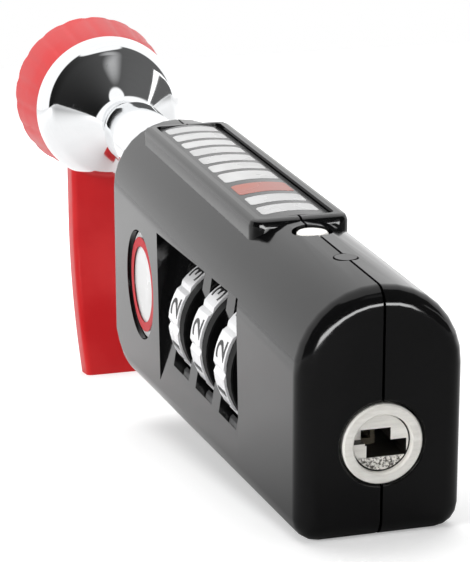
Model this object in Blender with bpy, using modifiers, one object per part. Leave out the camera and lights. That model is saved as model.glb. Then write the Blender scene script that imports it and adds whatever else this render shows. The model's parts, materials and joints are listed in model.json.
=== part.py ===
"""Combination padlock with a pull-out bolt, built as separate pieces in their own frames.

The lock's own frame has X across the body (the dials are on -X), Y from the key end
to the bolt and Z up from the base to the crown. The whole lock leans on the ground on
its key end and on the foot of the grip.
"""

from math import asin, atan2, cos, pi, radians, sin, sqrt, tan

import bmesh
import bpy
from mathutils import Matrix, Vector

# Clearances
RUNNING_GAP = 0.0003
SEATED_GAP = 0.00015
CUT_OVERRUN = 0.002
EDGE_BREAK = 0.00015

# Body
BODY_WIDTH = 0.0163
BODY_LENGTH = 0.076
BODY_HEIGHT = 0.0243
BASE_SLOPE = radians(4.9)
SHOULDER_SHARE = 0.4908
SHOULDER_RADIUS = BODY_WIDTH * SHOULDER_SHARE
BASE_EDGE_RADIUS = 0.0024
END_FILLET = 0.0019
FAR_CORNER_RADIUS = 0.007
SEAM_GAP = 0.00026

# Raised frame and badge on the crown
FRAME_WIDTH_SHARE = 0.6442
FRAME_WIDTH = BODY_WIDTH * FRAME_WIDTH_SHARE
FRAME_RISE = 0.0003
FRAME_START = 0.0246
FRAME_END_MARGIN = 0.005
FRAME_DEPTH = 0.0028
FRAME_CORNER_RADIUS = 0.0014
FRAME_EDGE_CHAMFER = 0.0007
BADGE_BORDER = 0.0013
BADGE_POCKET_DEPTH = 0.001
BADGE_EDGE_THICKNESS = 0.0004
BADGE_CROWN = 0.00045
BADGE_CORNER_RADIUS = 0.0007

# Leaf spring that gives the dials their clicks
DETENT_THICKNESS = 0.00025
DETENT_HEIGHT = 0.004
DETENT_HUMP = 0.0003

# Dials, whose rings fill the width between the left face and the detent's wall
DIAL_COUNT = 3
DIAL_AXIS_X = -0.001
DIAL_ABOVE_BASE = 0.008
DIAL_AXIS_DROP = BODY_HEIGHT - DIAL_ABOVE_BASE
DIAL_MIDDLE_SHARE = 0.46316
DIAL_MIDDLE_Y = BODY_LENGTH * DIAL_MIDDLE_SHARE
DIAL_PITCH_SHARE = 0.12368
DIAL_PITCH = BODY_LENGTH * DIAL_PITCH_SHARE
DIAL_SLOPE = radians(3.1)
DIAL_WALL = 0.0008
DETENT_ROOM = DETENT_HUMP + DETENT_THICKNESS + RUNNING_GAP
NUMBER_RING_RADIUS = BODY_WIDTH / 2 - DIAL_AXIS_X - DIAL_WALL - DETENT_ROOM - RUNNING_GAP
NUMBER_RING_WIDTH_SHARE = 0.4255
NUMBER_RING_WIDTH = DIAL_PITCH * NUMBER_RING_WIDTH_SHARE
NUMBER_RING_BORE_SHARE = 0.75
NUMBER_RING_BORE = NUMBER_RING_RADIUS * NUMBER_RING_BORE_SHARE
NUMBER_COUNT = 10
SCALLOP_DEPTH = 0.00025
GRIP_BAND_STEP = 0.00018
GRIP_BAND_RADIUS = NUMBER_RING_RADIUS - GRIP_BAND_STEP
GRIP_BAND_WIDTH_SHARE = 0.2128
GRIP_BAND_WIDTH = DIAL_PITCH * GRIP_BAND_WIDTH_SHARE
WHEEL_BORE_SHARE = 0.4722
WHEEL_BORE = NUMBER_RING_RADIUS * WHEEL_BORE_SHARE
SLEEVE_BORE_SHARE = 0.2639
SLEEVE_BORE = NUMBER_RING_RADIUS * SLEEVE_BORE_SHARE
SLEEVE_GATE_WIDTH = 0.0014
SPINDLE_PLAY = 0.0005
SPINDLE_RADIUS = SLEEVE_BORE - SPINDLE_PLAY
SPINDLE_SHIFT = 0.0012
SPINDLE_END_SHARE = 0.4
FIN_RISE = 0.0012
FIN_RADIUS = SPINDLE_RADIUS + FIN_RISE
FIN_THICKNESS = 0.0007

# Dial scoop and windows
SCOOP_NEAR_MARGIN = 0.0012
SCOOP_FAR_MARGIN = 0.0031
SCOOP_START = DIAL_MIDDLE_Y - DIAL_PITCH * DIAL_COUNT / 2 - SCOOP_NEAR_MARGIN
SCOOP_END = DIAL_MIDDLE_Y + DIAL_PITCH * DIAL_COUNT / 2 + SCOOP_FAR_MARGIN
SCOOP_TOP_DEPTH = 0.003
SCOOP_RUN_OUT = 0.0081
LEDGE_ABOVE_AXIS = 0.0092
WINDOW_BELOW_AXIS = 0.0052

# Indicator emblem recess
EMBLEM_FROM_MOUTH = 0.0147
EMBLEM_CENTRE_Y = BODY_LENGTH - EMBLEM_FROM_MOUTH
EMBLEM_ABOVE_BASE = 0.0077
EMBLEM_DROP = BODY_HEIGHT - EMBLEM_ABOVE_BASE
EMBLEM_RADIUS = 0.0065
EMBLEM_RECESS_DEPTH = 0.0015
EMBLEM_THICKNESS = 0.0007
EMBLEM_DOME = 0.0003

# Key cylinder
KEY_ABOVE_BASE = 0.0094
KEY_DROP = BODY_HEIGHT - KEY_ABOVE_BASE
KEY_SLEEVE_RADIUS = 0.0039
KEY_PLUG_RADIUS = 0.0027
KEY_PROTRUSION = 0.0002
KEY_LENGTH = 0.0105
KEY_FACE_RECESS = 0.0004
KEY_COUNTERSINK = 0.00025
KEYWAY_UPPER_WIDTH = 0.0025
KEYWAY_UPPER_SHIFT = -0.00033
KEYWAY_UPPER_HEIGHT = 0.0014
KEYWAY_LOWER_WIDTH = 0.0039
KEYWAY_LOWER_SHIFT = 0.00053
KEYWAY_LOWER_HEIGHT = 0.0014
KEYWAY_NOTCH_WIDTH = 0.0013
KEYWAY_NOTCH_DEPTH = 0.0012
KEYWAY_DEPTH = 0.0085
KEYWAY_LAP = 0.0002
WAFER_COUNT = 3
WAFER_THICKNESS = 0.0006
WAFER_PITCH = 0.0017
WAFER_FIRST = 0.0038
WAFER_HEIGHT_SHARE = 0.62
WAFER_WINDOW_SHARE = 0.5
CAM_RADIUS = 0.0026
CAM_THICKNESS = 0.0014
CAM_FLAT_CUT = 0.0006

# Bolt and its guide
BOLT_DROP = 0.0066
SHANK_RADIUS = 0.0032
SHANK_INSIDE_SHARE = 0.3487
SHANK_INNER_END = BODY_LENGTH * (1 - SHANK_INSIDE_SHARE)
SHANK_POINT = 0.001
GROOVE_RADIUS = 0.0022
GROOVE_FROM_MOUTH = 0.0166
GROOVE_START = BODY_LENGTH - GROOVE_FROM_MOUTH
GROOVE_WIDTH = 0.0032
COLLAR_RADIUS = 0.0042
COLLAR_LENGTH = 0.0195
NECK_RADIUS = 0.0028
NECK_LENGTH = 0.0085
FLARE_LENGTH = 0.0095
FLARE_CURVE_SHARE = 1.5
RIM_RADIUS = 0.01005
LIP_WIDTH = 0.0031
LIP_DEPTH = 0.0044
LIP_SWEEP = radians(60)
HUB_RADIUS = 0.007
BUSHING_RADIUS = COLLAR_RADIUS
BUSHING_LENGTH = 0.009

# Grip on the bolt head
GRIP_RADIUS = 0.011
GRIP_FRONT_RADIUS = 0.0098
GRIP_LENGTH = 0.011
GRIP_LIP_LENGTH = 0.0088
GRIP_GROOVE_COUNT = 20
GRIP_GROOVE_DEPTH = 0.00012
GRIP_GROOVE_TURN = radians(3)
FLANGE_RADIUS = 0.0086
TONGUE_WIDTH = 0.0104
TONGUE_THICKNESS = 0.0042
TONGUE_REACH = 0.0372
TONGUE_STRAIGHT = 0.0165
TONGUE_BEND_RADIUS = 0.035
TONGUE_EDGE_RADIUS = 0.0008
GRIP_EDGE_RADIUS = 0.0008

# Latch that holds the bolt
LATCH_WIDTH = 0.0074
LATCH_THICKNESS = 0.002
LATCH_LIFT = 0.0016
LATCH_NOTCH_RADIUS = 0.0025
LATCH_HEIGHT = 0.0105
SPRING_WIRE_RADIUS = 0.0002
LATCH_SPRING_RADIUS = 0.0007
LATCH_SPRING_LENGTH = 0.0042
LATCH_SPRING_TURNS = 4

# Reset button on the crown
BUTTON_BEFORE_FRAME = 0.0034
BUTTON_CENTRE_Y = FRAME_START - BUTTON_BEFORE_FRAME
BUTTON_RADIUS = 0.0016
BUTTON_RECESS = 0.0002
BUTTON_LENGTH_SHARE = 0.33
BUTTON_LENGTH = (DIAL_AXIS_DROP - NUMBER_RING_RADIUS) * BUTTON_LENGTH_SHARE
BUTTON_HOLE_RADIUS = 0.0021
BUTTON_FLANGE_RADIUS = 0.0026
BUTTON_FLANGE_THICKNESS = 0.0009
BUTTON_TRAVEL = 0.0008
BUTTON_SPRING_SHARE = 0.209
BUTTON_SPRING_LENGTH = (DIAL_AXIS_DROP - NUMBER_RING_RADIUS) * BUTTON_SPRING_SHARE
BUTTON_SPRING_TURNS = 3

# Dowels and plug
PLUG_CENTRE_Y = 0.0110
PLUG_RADIUS = 0.0011
PLUG_LENGTH = 0.0035
DOWEL_RADIUS = 0.001
DOWEL_COVER = 0.0024
DOWEL_LENGTH = BODY_WIDTH - 2 * DOWEL_COVER
DOWEL_WALL = 0.001

# Smoothness
ARC_STEPS = 5
SHOULDER_STEPS = 8
BASE_EDGE_STEPS = 4
COARSE_STEPS = 16
ROUND_STEPS = 24
SMOOTH_STEPS = 40
COIL_STEPS = 8
HUMP_STEPS = 10
GROOVE_STEPS = 5
SHARP_ANGLE = radians(35)
CORNER_ANGLE = radians(60)
FLAT_ANGLE = radians(0.2)
MERGE_DISTANCE = 0.000002


def clear_scene():
    for item in list(bpy.data.objects):
        bpy.data.objects.remove(item, do_unlink=True)
    for group in list(bpy.data.collections):
        bpy.data.collections.remove(group)


def new_collection(name):
    group = bpy.data.collections.new(name)
    bpy.context.scene.collection.children.link(group)
    return group


def make_material(name, colour, roughness, metallic):
    material = bpy.data.materials.new(name)
    material.use_nodes = True
    shader = material.node_tree.nodes["Principled BSDF"]
    shader.inputs["Base Color"].default_value = (*colour, 1)
    shader.inputs["Roughness"].default_value = roughness
    shader.inputs["Metallic"].default_value = metallic
    return material


clear_scene()
PARTS = new_collection("combination_padlock")
CUTTERS = new_collection("cutters")

BLACK_PAINT = make_material("black_paint", (0.012, 0.012, 0.013), 0.15, 0)
BLACK_PLASTIC = make_material("black_plastic", (0.014, 0.014, 0.015), 0.35, 0)
NICKEL = make_material("nickel", (0.72, 0.70, 0.66), 0.25, 1)
CHROME = make_material("chrome", (0.86, 0.87, 0.88), 0.06, 1)
SILVER_BAND = make_material("silver_band", (0.80, 0.81, 0.82), 0.3, 0.6)
RED_PLASTIC = make_material("red_plastic", (0.55, 0.018, 0.03), 0.3, 0)
WHITE_ENAMEL = make_material("white_enamel", (0.86, 0.86, 0.86), 0.25, 0)
BADGE_BLACK = make_material("badge_black", (0.02, 0.02, 0.022), 0.2, 0)
STEEL = make_material("steel", (0.55, 0.56, 0.58), 0.35, 1)
BRASS = make_material("brass", (0.75, 0.58, 0.28), 0.3, 1)


def new_frame(name, location, slope=0, parent=None):
    """An empty whose X turn is slope; pieces are placed under it."""
    frame = bpy.data.objects.new(name, None)
    PARTS.objects.link(frame)
    frame.parent = parent
    frame.location = location
    frame.rotation_euler = (slope, 0, 0)
    return frame


def add_object(name, mesh, frame, location=(0, 0, 0), turn=(0, 0, 0), material=None):
    """Link a piece, or a cutter when it has no material, under its frame."""
    item = bpy.data.objects.new(name, mesh)
    group = PARTS if material else CUTTERS
    group.objects.link(item)
    item.parent = frame
    item.location = location
    item.rotation_euler = turn
    if material:
        mesh.materials.append(material)
    else:
        item.hide_render = True
        item.display_type = "WIRE"
    return item


def finish_mesh(name, bm, smooth=True):
    bmesh.ops.recalc_face_normals(bm, faces=bm.faces)
    mesh = bpy.data.meshes.new(name)
    bm.to_mesh(mesh)
    bm.free()
    if smooth:
        mesh.shade_smooth()
        mesh.set_sharp_from_angle(angle=SHARP_ANGLE)
    return mesh


def box_mesh(name, size):
    bm = bmesh.new()
    bmesh.ops.create_cube(bm, size=1)
    bmesh.ops.scale(bm, vec=Vector(size), verts=bm.verts)
    return finish_mesh(name, bm, smooth=False)


def cylinder_mesh(name, radius, length, steps=ROUND_STEPS):
    """A cylinder on local Z, from 0 up to length."""
    bm = bmesh.new()
    bmesh.ops.create_cone(bm, cap_ends=True, segments=steps, radius1=radius, radius2=radius, depth=length)
    bmesh.ops.translate(bm, vec=(0, 0, length / 2), verts=bm.verts)
    return finish_mesh(name, bm)


ALONG_Y = (-pi / 2, 0, 0)
ALONG_X = (0, pi / 2, 0)
UPRIGHT = (0, 0, 0)


def turned_object(name, profile, frame, location, turn, material=None, steps=ROUND_STEPS, ring=False):
    """Turn a profile of (radius, height) points about local Z with a Screw modifier.

    The profile runs from the top of the outer side to the bottom.
    """
    mesh = bpy.data.meshes.new(name)
    points = [(radius, 0, height) for radius, height in profile]
    edges = [(i, i + 1) for i in range(len(points) - 1)]
    if ring:
        edges.append((len(points) - 1, 0))
    mesh.from_pydata(points, edges, [])
    item = add_object(name, mesh, frame, location, turn, material)
    screw = item.modifiers.new("turn", "SCREW")
    screw.steps = steps
    screw.render_steps = steps
    screw.use_merge_vertices = True
    screw.merge_threshold = MERGE_DISTANCE
    screw.use_smooth_shade = True
    return item


def arc_points(centre, radius, start, end, steps=ARC_STEPS):
    """Points on an arc in a plane, both ends included, angles in radians."""
    return [
        (
            centre[0] + radius * cos(start + (end - start) * i / steps),
            centre[1] + radius * sin(start + (end - start) * i / steps),
        )
        for i in range(steps + 1)
    ]


def outline_mesh(name, outline, thickness, holes=(), smooth=False):
    """A flat outline filled and extruded along local Z, from 0 up to thickness."""
    curve = bpy.data.curves.new(name, "CURVE")
    curve.dimensions = "2D"
    curve.fill_mode = "BOTH"
    curve.extrude = thickness / 2
    for points in (outline, *holes):
        spline = curve.splines.new("POLY")
        spline.points.add(len(points) - 1)
        for point, (x, y) in zip(spline.points, points):
            point.co = (x, y, 0, 1)
        spline.use_cyclic_u = True
    maker = bpy.data.objects.new(name, curve)
    CUTTERS.objects.link(maker)
    bpy.context.view_layer.update()
    evaluated = maker.evaluated_get(bpy.context.evaluated_depsgraph_get())
    bm = bmesh.new()
    bm.from_mesh(bpy.data.meshes.new_from_object(evaluated))
    bpy.data.objects.remove(maker, do_unlink=True)
    bmesh.ops.remove_doubles(bm, verts=bm.verts, dist=MERGE_DISTANCE)
    if not holes:
        bmesh.ops.dissolve_limit(bm, angle_limit=FLAT_ANGLE, verts=bm.verts, edges=bm.edges)
    bmesh.ops.translate(bm, vec=(0, 0, thickness / 2), verts=bm.verts)
    return finish_mesh(name, bm, smooth=smooth)


def rounded_rectangle(width, length, radius):
    """Corner-rounded outline centred on zero."""
    x = width / 2 - radius
    y = length / 2 - radius
    points = []
    for cx, cy, start in ((x, y, 0), (-x, y, pi / 2), (-x, -y, pi), (x, -y, 1.5 * pi)):
        points += arc_points((cx, cy), radius, start, start + pi / 2)
    return points


def cut_with(item, cutter, name="cut", operation="DIFFERENCE"):
    boolean = item.modifiers.new(name, "BOOLEAN")
    boolean.operation = operation
    boolean.object = cutter
    return boolean


# Placement frames

lock = new_frame("lock", (0, 0, 0))
dial_frame = new_frame(
    "dial_axis", (DIAL_AXIS_X, DIAL_MIDDLE_Y, -DIAL_AXIS_DROP), -DIAL_SLOPE, lock
)
bolt_frame = new_frame("bolt_axis", (0, BODY_LENGTH, -BOLT_DROP), 0, lock)
key_frame = new_frame("key_axis", (0, 0, -KEY_DROP), 0, lock)

COLLAR_START = SEATED_GAP
NECK_START = COLLAR_START + COLLAR_LENGTH
FLARE_START = NECK_START + NECK_LENGTH
RIM_Y = FLARE_START + FLARE_LENGTH
GRIP_Y = RIM_Y + SEATED_GAP
DIAL_WIDTH = NUMBER_RING_WIDTH + GRIP_BAND_WIDTH


def base_height(y):
    """Height of the base under the crown at y, with the rounded far corner."""
    height = -(BODY_HEIGHT + y * tan(BASE_SLOPE))
    into_corner = y - (BODY_LENGTH - FAR_CORNER_RADIUS)
    if into_corner > 0:
        height += FAR_CORNER_RADIUS - sqrt(max(0, FAR_CORNER_RADIUS**2 - into_corner**2))
    return height


def body_section(y, inset):
    """Rounded section of the body at y, drawn in by inset all round."""
    shoulder = SHOULDER_RADIUS - inset
    edge = BASE_EDGE_RADIUS - inset
    out = BODY_WIDTH / 2 - SHOULDER_RADIUS
    base_out = BODY_WIDTH / 2 - BASE_EDGE_RADIUS
    base = base_height(y) + BASE_EDGE_RADIUS
    points = []
    points += arc_points((out, -SHOULDER_RADIUS), shoulder, 0, pi / 2, SHOULDER_STEPS)
    points += arc_points((-out, -SHOULDER_RADIUS), shoulder, pi / 2, pi, SHOULDER_STEPS)
    points += arc_points((-base_out, base), edge, pi, 1.5 * pi, BASE_EDGE_STEPS)
    points += arc_points((base_out, base), edge, 1.5 * pi, 2 * pi, BASE_EDGE_STEPS)
    return [(x, y, z) for x, z in points]


def body_stations():
    """Pairs of y and inset along the body, through both end fillets and the far corner."""
    stations = []
    for i in range(ARC_STEPS + 1):
        angle = pi / 2 * i / ARC_STEPS
        stations.append((END_FILLET * (1 - cos(angle)), END_FILLET * (1 - sin(angle))))
    corner_start = BODY_LENGTH - FAR_CORNER_RADIUS
    fillet_start = BODY_LENGTH - END_FILLET
    for i in range(ARC_STEPS + 1):
        angle = pi / 2 * i / ARC_STEPS
        y = corner_start + FAR_CORNER_RADIUS * sin(angle)
        if y < fillet_start:
            stations.append((y, 0))
    for i in range(ARC_STEPS + 1):
        angle = pi / 2 * i / ARC_STEPS
        stations.append((fillet_start + END_FILLET * sin(angle), END_FILLET * (1 - cos(angle))))
    return stations


def body_mesh():
    """Loft the body through its sections, whose base drops towards the bolt."""
    bm = bmesh.new()
    rings = []
    for y, inset in body_stations():
        rings.append([bm.verts.new(point) for point in body_section(y, inset)])
    for near, far in zip(rings, rings[1:]):
        for i in range(len(near)):
            j = (i + 1) % len(near)
            bm.faces.new((near[i], near[j], far[j], far[i]))
    bm.faces.new(rings[0])
    bm.faces.new(rings[-1])
    return finish_mesh("body", bm)


FRAME_LENGTH = BODY_LENGTH - FRAME_END_MARGIN - FRAME_START
FRAME_MIDDLE_Y = FRAME_START + FRAME_LENGTH / 2


def frame_block():
    """The flat-topped raised frame on the crown, joined to the body."""
    outline = rounded_rectangle(FRAME_WIDTH, FRAME_LENGTH, FRAME_CORNER_RADIUS)
    mesh = outline_mesh("frame_block", outline, FRAME_DEPTH)
    bm = bmesh.new()
    bm.from_mesh(mesh)
    top = [edge for edge in bm.edges if all(v.co.z > FRAME_DEPTH / 2 for v in edge.verts)]
    rim = [edge for edge in top if edge.calc_face_angle(0) > SHARP_ANGLE]
    bmesh.ops.bevel(bm, geom=rim, offset=FRAME_EDGE_CHAMFER, segments=2, affect="EDGES", profile=0.5)
    bm.to_mesh(mesh)
    bm.free()
    return add_object("frame_block", mesh, lock, (0, FRAME_MIDDLE_Y, FRAME_RISE - FRAME_DEPTH))


def dial_offsets():
    return [DIAL_PITCH * (i - (DIAL_COUNT - 1) / 2) for i in range(DIAL_COUNT)]


SPINDLE_NEAR = -(DIAL_MIDDLE_Y - KEY_LENGTH - CAM_THICKNESS - 3 * RUNNING_GAP)
SPINDLE_FAR = DIAL_PITCH * (DIAL_COUNT / 2 + SPINDLE_END_SHARE)


def make_cutters():
    """Everything taken out of the two housing halves, in one list."""
    cutters = [cut_badge_pocket(), cut_scoop(), cut_emblem(), cut_latch_slot(), cut_detent()]
    cutters += cut_dial_chambers()
    cutters += [cut_spindle(), cut_key(), cut_bolt(), cut_button(), cut_plug()]
    cutters += cut_dowels()
    return cutters


def cut_badge_pocket():
    outline = rounded_rectangle(
        FRAME_WIDTH - 2 * BADGE_BORDER, FRAME_LENGTH - 2 * BADGE_BORDER, BADGE_CORNER_RADIUS
    )
    mesh = outline_mesh("badge_pocket", outline, BADGE_POCKET_DEPTH + CUT_OVERRUN)
    return add_object("badge_pocket", mesh, lock, (0, FRAME_MIDDLE_Y, FRAME_RISE - BADGE_POCKET_DEPTH))


def cut_scoop():
    """The ramp in front of the dials, deep under its ledge and running out at the base."""
    face = -BODY_WIDTH / 2 - DIAL_AXIS_X
    slope = SCOOP_TOP_DEPTH / (LEDGE_ABOVE_AXIS + SCOOP_RUN_OUT)
    outline = [
        (face - CUT_OVERRUN, LEDGE_ABOVE_AXIS),
        (face + SCOOP_TOP_DEPTH, LEDGE_ABOVE_AXIS),
        (face - CUT_OVERRUN, -SCOOP_RUN_OUT - CUT_OVERRUN / slope),
    ]
    length = SCOOP_END - SCOOP_START
    mesh = outline_mesh("dial_scoop", outline, length)
    # The outline's second axis is up, and its thickness runs back towards the key end.
    return add_object("dial_scoop", mesh, dial_frame, (0, SCOOP_END - DIAL_MIDDLE_Y, 0), (pi / 2, 0, 0))


def cut_emblem():
    mesh = cylinder_mesh("emblem_recess", EMBLEM_RADIUS, EMBLEM_RECESS_DEPTH + CUT_OVERRUN, SMOOTH_STEPS)
    face = -BODY_WIDTH / 2 - CUT_OVERRUN
    return add_object("emblem_recess", mesh, lock, (face, EMBLEM_CENTRE_Y, -EMBLEM_DROP), ALONG_X)


def chamber_outline():
    """A circle round the dial, opened to the left face from just under the ledge to its foot."""
    radius = NUMBER_RING_RADIUS + RUNNING_GAP
    ceiling = LEDGE_ABOVE_AXIS - RUNNING_GAP
    reach = BODY_WIDTH / 2 + CUT_OVERRUN + DIAL_AXIS_X
    inner = GRIP_BAND_RADIUS / 2
    top = pi - atan2(sqrt(radius**2 - inner**2), inner)
    foot = -pi + asin(WINDOW_BELOW_AXIS / radius)
    arc = arc_points((0, 0), radius, top, foot, ROUND_STEPS)
    return [(-reach, ceiling), (-inner, ceiling)] + arc + [(-reach, -WINDOW_BELOW_AXIS)]


def cut_dial_chambers():
    """A chamber for each dial, open to the face where its numbers show."""
    cutters = []
    width = DIAL_WIDTH + 2 * RUNNING_GAP
    for i, offset in enumerate(dial_offsets(), 1):
        mesh = outline_mesh(f"dial_chamber_{i}", chamber_outline(), width)
        place = (0, offset + width / 2, 0)
        cutters.append(add_object(f"dial_chamber_{i}", mesh, dial_frame, place, (pi / 2, 0, 0)))
    return cutters


def cut_spindle():
    """Stepped bore: a bearing at each end and room for the sleeves and fins between."""
    bearing = SPINDLE_RADIUS + RUNNING_GAP
    middle = WHEEL_BORE + RUNNING_GAP
    inner = DIAL_PITCH * DIAL_COUNT / 2 + SPINDLE_SHIFT + RUNNING_GAP
    far = SPINDLE_FAR + SPINDLE_SHIFT + 2 * RUNNING_GAP
    near = SPINDLE_NEAR - RUNNING_GAP
    profile = [
        (0, far),
        (bearing, far),
        (bearing, inner),
        (middle, inner),
        (middle, -inner),
        (bearing, -inner),
        (bearing, near),
        (0, near),
    ]
    return turned_object("spindle_bore", profile, dial_frame, (0, 0, 0), ALONG_Y, steps=COARSE_STEPS)


def cut_key():
    """Bore for the key cylinder and the cam behind it, countersunk at its mouth."""
    sleeve = KEY_SLEEVE_RADIUS + SEATED_GAP
    end = KEY_LENGTH + CAM_THICKNESS + 3 * RUNNING_GAP
    mouth = sleeve + KEY_COUNTERSINK + CUT_OVERRUN
    profile = [
        (0, end),
        (sleeve, end),
        (sleeve, KEY_COUNTERSINK),
        (mouth, -CUT_OVERRUN),
        (0, -CUT_OVERRUN),
    ]
    return turned_object("key_bore", profile, key_frame, (0, 0, 0), ALONG_Y, steps=SMOOTH_STEPS)


def cut_bolt():
    """Bore for the bolt's shank, wider at its mouth for the guide bushing."""
    shank = SHANK_RADIUS + RUNNING_GAP
    bushing = BUSHING_RADIUS + SEATED_GAP
    inner = SHANK_INNER_END - BODY_LENGTH - RUNNING_GAP
    step = -BUSHING_LENGTH - SEATED_GAP
    profile = [
        (0, CUT_OVERRUN),
        (bushing, CUT_OVERRUN),
        (bushing, step),
        (shank, step),
        (shank, inner),
        (0, inner),
    ]
    return turned_object("bolt_bore", profile, bolt_frame, (0, 0, 0), ALONG_Y)


LATCH_Y = GROOVE_START + GROOVE_WIDTH / 2
LATCH_TOP = -BOLT_DROP - sqrt(SHANK_RADIUS**2 - LATCH_NOTCH_RADIUS**2) - RUNNING_GAP
LATCH_FOOT = LATCH_TOP - LATCH_HEIGHT
LATCH_SPRING_FOOT = LATCH_FOOT - LATCH_SPRING_LENGTH - RUNNING_GAP


def cut_latch_slot():
    """The slot that the latch rises in, and the well of its spring."""
    top = LATCH_TOP + LATCH_LIFT + RUNNING_GAP
    bottom = LATCH_SPRING_FOOT - SEATED_GAP
    size = (LATCH_WIDTH + 2 * RUNNING_GAP, LATCH_THICKNESS + 2 * RUNNING_GAP, top - bottom)
    mesh = box_mesh("latch_slot", size)
    return add_object("latch_slot", mesh, lock, (0, LATCH_Y, (top + bottom) / 2))


DETENT_X = DIAL_AXIS_X + NUMBER_RING_RADIUS + RUNNING_GAP


def cut_detent():
    """A flat pocket beside the dials for their leaf spring."""
    length = DIAL_PITCH * DIAL_COUNT + 2 * RUNNING_GAP
    height = DETENT_HEIGHT + 2 * RUNNING_GAP
    mesh = box_mesh("detent_pocket", (2 * DETENT_ROOM, length, height))
    return add_object("detent_pocket", mesh, dial_frame, (DETENT_X - DIAL_AXIS_X, 0, 0))


BUTTON_FLOOR = (
    BUTTON_RECESS + BUTTON_LENGTH + BUTTON_TRAVEL + 2 * RUNNING_GAP + BUTTON_SPRING_LENGTH
)


def cut_button():
    """Stepped well: the hole that shows, and a wider room for the flange and spring."""
    hole = BUTTON_HOLE_RADIUS
    room = BUTTON_FLANGE_RADIUS + RUNNING_GAP
    shoulder = -(BUTTON_RECESS + BUTTON_LENGTH - BUTTON_FLANGE_THICKNESS - RUNNING_GAP)
    profile = [(0, CUT_OVERRUN), (hole, CUT_OVERRUN), (hole, shoulder), (room, shoulder)]
    profile += [(room, -BUTTON_FLOOR), (0, -BUTTON_FLOOR)]
    return turned_object("button_well", profile, lock, (0, BUTTON_CENTRE_Y, 0), UPRIGHT)


def cut_plug():
    hole = PLUG_RADIUS + SEATED_GAP
    floor = -PLUG_LENGTH - SEATED_GAP
    profile = [(0, CUT_OVERRUN), (hole, CUT_OVERRUN), (hole, floor), (0, floor)]
    return turned_object("plug_hole", profile, lock, (0, PLUG_CENTRE_Y, 0), UPRIGHT)


def dowel_places():
    """Places of the dowels in the lock's YZ plane, clear of every pocket."""
    low = BASE_EDGE_RADIUS + DOWEL_RADIUS
    keep_off = DOWEL_WALL + DOWEL_RADIUS
    before_latch = GROOVE_START - DOWEL_WALL - keep_off
    return [
        (low + DOWEL_WALL, base_height(0) + low),
        (KEY_LENGTH + CAM_THICKNESS + keep_off + RUNNING_GAP, -BOLT_DROP),
        (before_latch, base_height(before_latch) + low),
        (BODY_LENGTH - FAR_CORNER_RADIUS, -BOLT_DROP - BUSHING_RADIUS - DOWEL_WALL - keep_off),
    ]


def cut_dowels():
    cutters = []
    length = DOWEL_LENGTH + 2 * SEATED_GAP
    for i, (y, z) in enumerate(dowel_places(), 1):
        mesh = cylinder_mesh(f"dowel_hole_{i}", DOWEL_RADIUS + SEATED_GAP, length, COARSE_STEPS)
        cutters.append(add_object(f"dowel_hole_{i}", mesh, lock, (-length / 2, y, z), ALONG_X))
    return cutters


def make_housing():
    """Two die-cast halves that meet at the seam, cut from one lofted body."""
    block = frame_block()
    cutters = make_cutters()
    size = BODY_LENGTH + BODY_WIDTH
    for side, name in ((-1, "housing_left"), (1, "housing_right")):
        half = add_object(name, body_mesh(), lock, material=BLACK_PAINT)
        cut_with(half, block, "frame", "UNION")
        for cutter in cutters:
            cut_with(half, cutter, cutter.name)
        keep_out = box_mesh(f"seam_{name}", (size, 2 * size, 2 * size))
        shift = -side * (size - SEAM_GAP) / 2
        cut_with(half, add_object(f"seam_{name}", keep_out, lock, (shift, 0, 0)), "seam")


def make_badge():
    """The inlaid plate, crowned across its width."""
    width = FRAME_WIDTH - 2 * BADGE_BORDER - 2 * SEATED_GAP
    length = FRAME_LENGTH - 2 * BADGE_BORDER - 2 * SEATED_GAP
    bow = [(-width / 2, 0), (width / 2, 0)]
    radius = ((width / 2) ** 2 + BADGE_CROWN**2) / (2 * BADGE_CROWN)
    reach = asin(width / 2 / radius)
    top = BADGE_EDGE_THICKNESS + BADGE_CROWN - radius
    bow += arc_points((0, top), radius, pi / 2 - reach, pi / 2 + reach, 2 * ARC_STEPS)
    mesh = outline_mesh("badge_plate", bow, length)
    place = (0, FRAME_MIDDLE_Y + length / 2, FRAME_RISE - BADGE_POCKET_DEPTH + SEATED_GAP)
    add_object("badge_plate", mesh, lock, place, (pi / 2, 0, 0), BADGE_BLACK)


def make_emblem():
    """A plain domed disc in the round recess."""
    radius = EMBLEM_RADIUS - SEATED_GAP
    dome = (radius**2 + EMBLEM_DOME**2) / (2 * EMBLEM_DOME)
    reach = asin(radius / dome)
    top = EMBLEM_THICKNESS + EMBLEM_DOME - dome
    profile = arc_points((0, top), dome, pi / 2, pi / 2 - reach)
    profile[0] = (0, EMBLEM_THICKNESS + EMBLEM_DOME)
    profile += [(radius, 0), (0, 0)]
    place = (-BODY_WIDTH / 2 + EMBLEM_RECESS_DEPTH - SEATED_GAP, EMBLEM_CENTRE_Y, -EMBLEM_DROP)
    turned_object("emblem_disc", profile, lock, place, (0, -pi / 2, 0), WHITE_ENAMEL, SMOOTH_STEPS)


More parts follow.
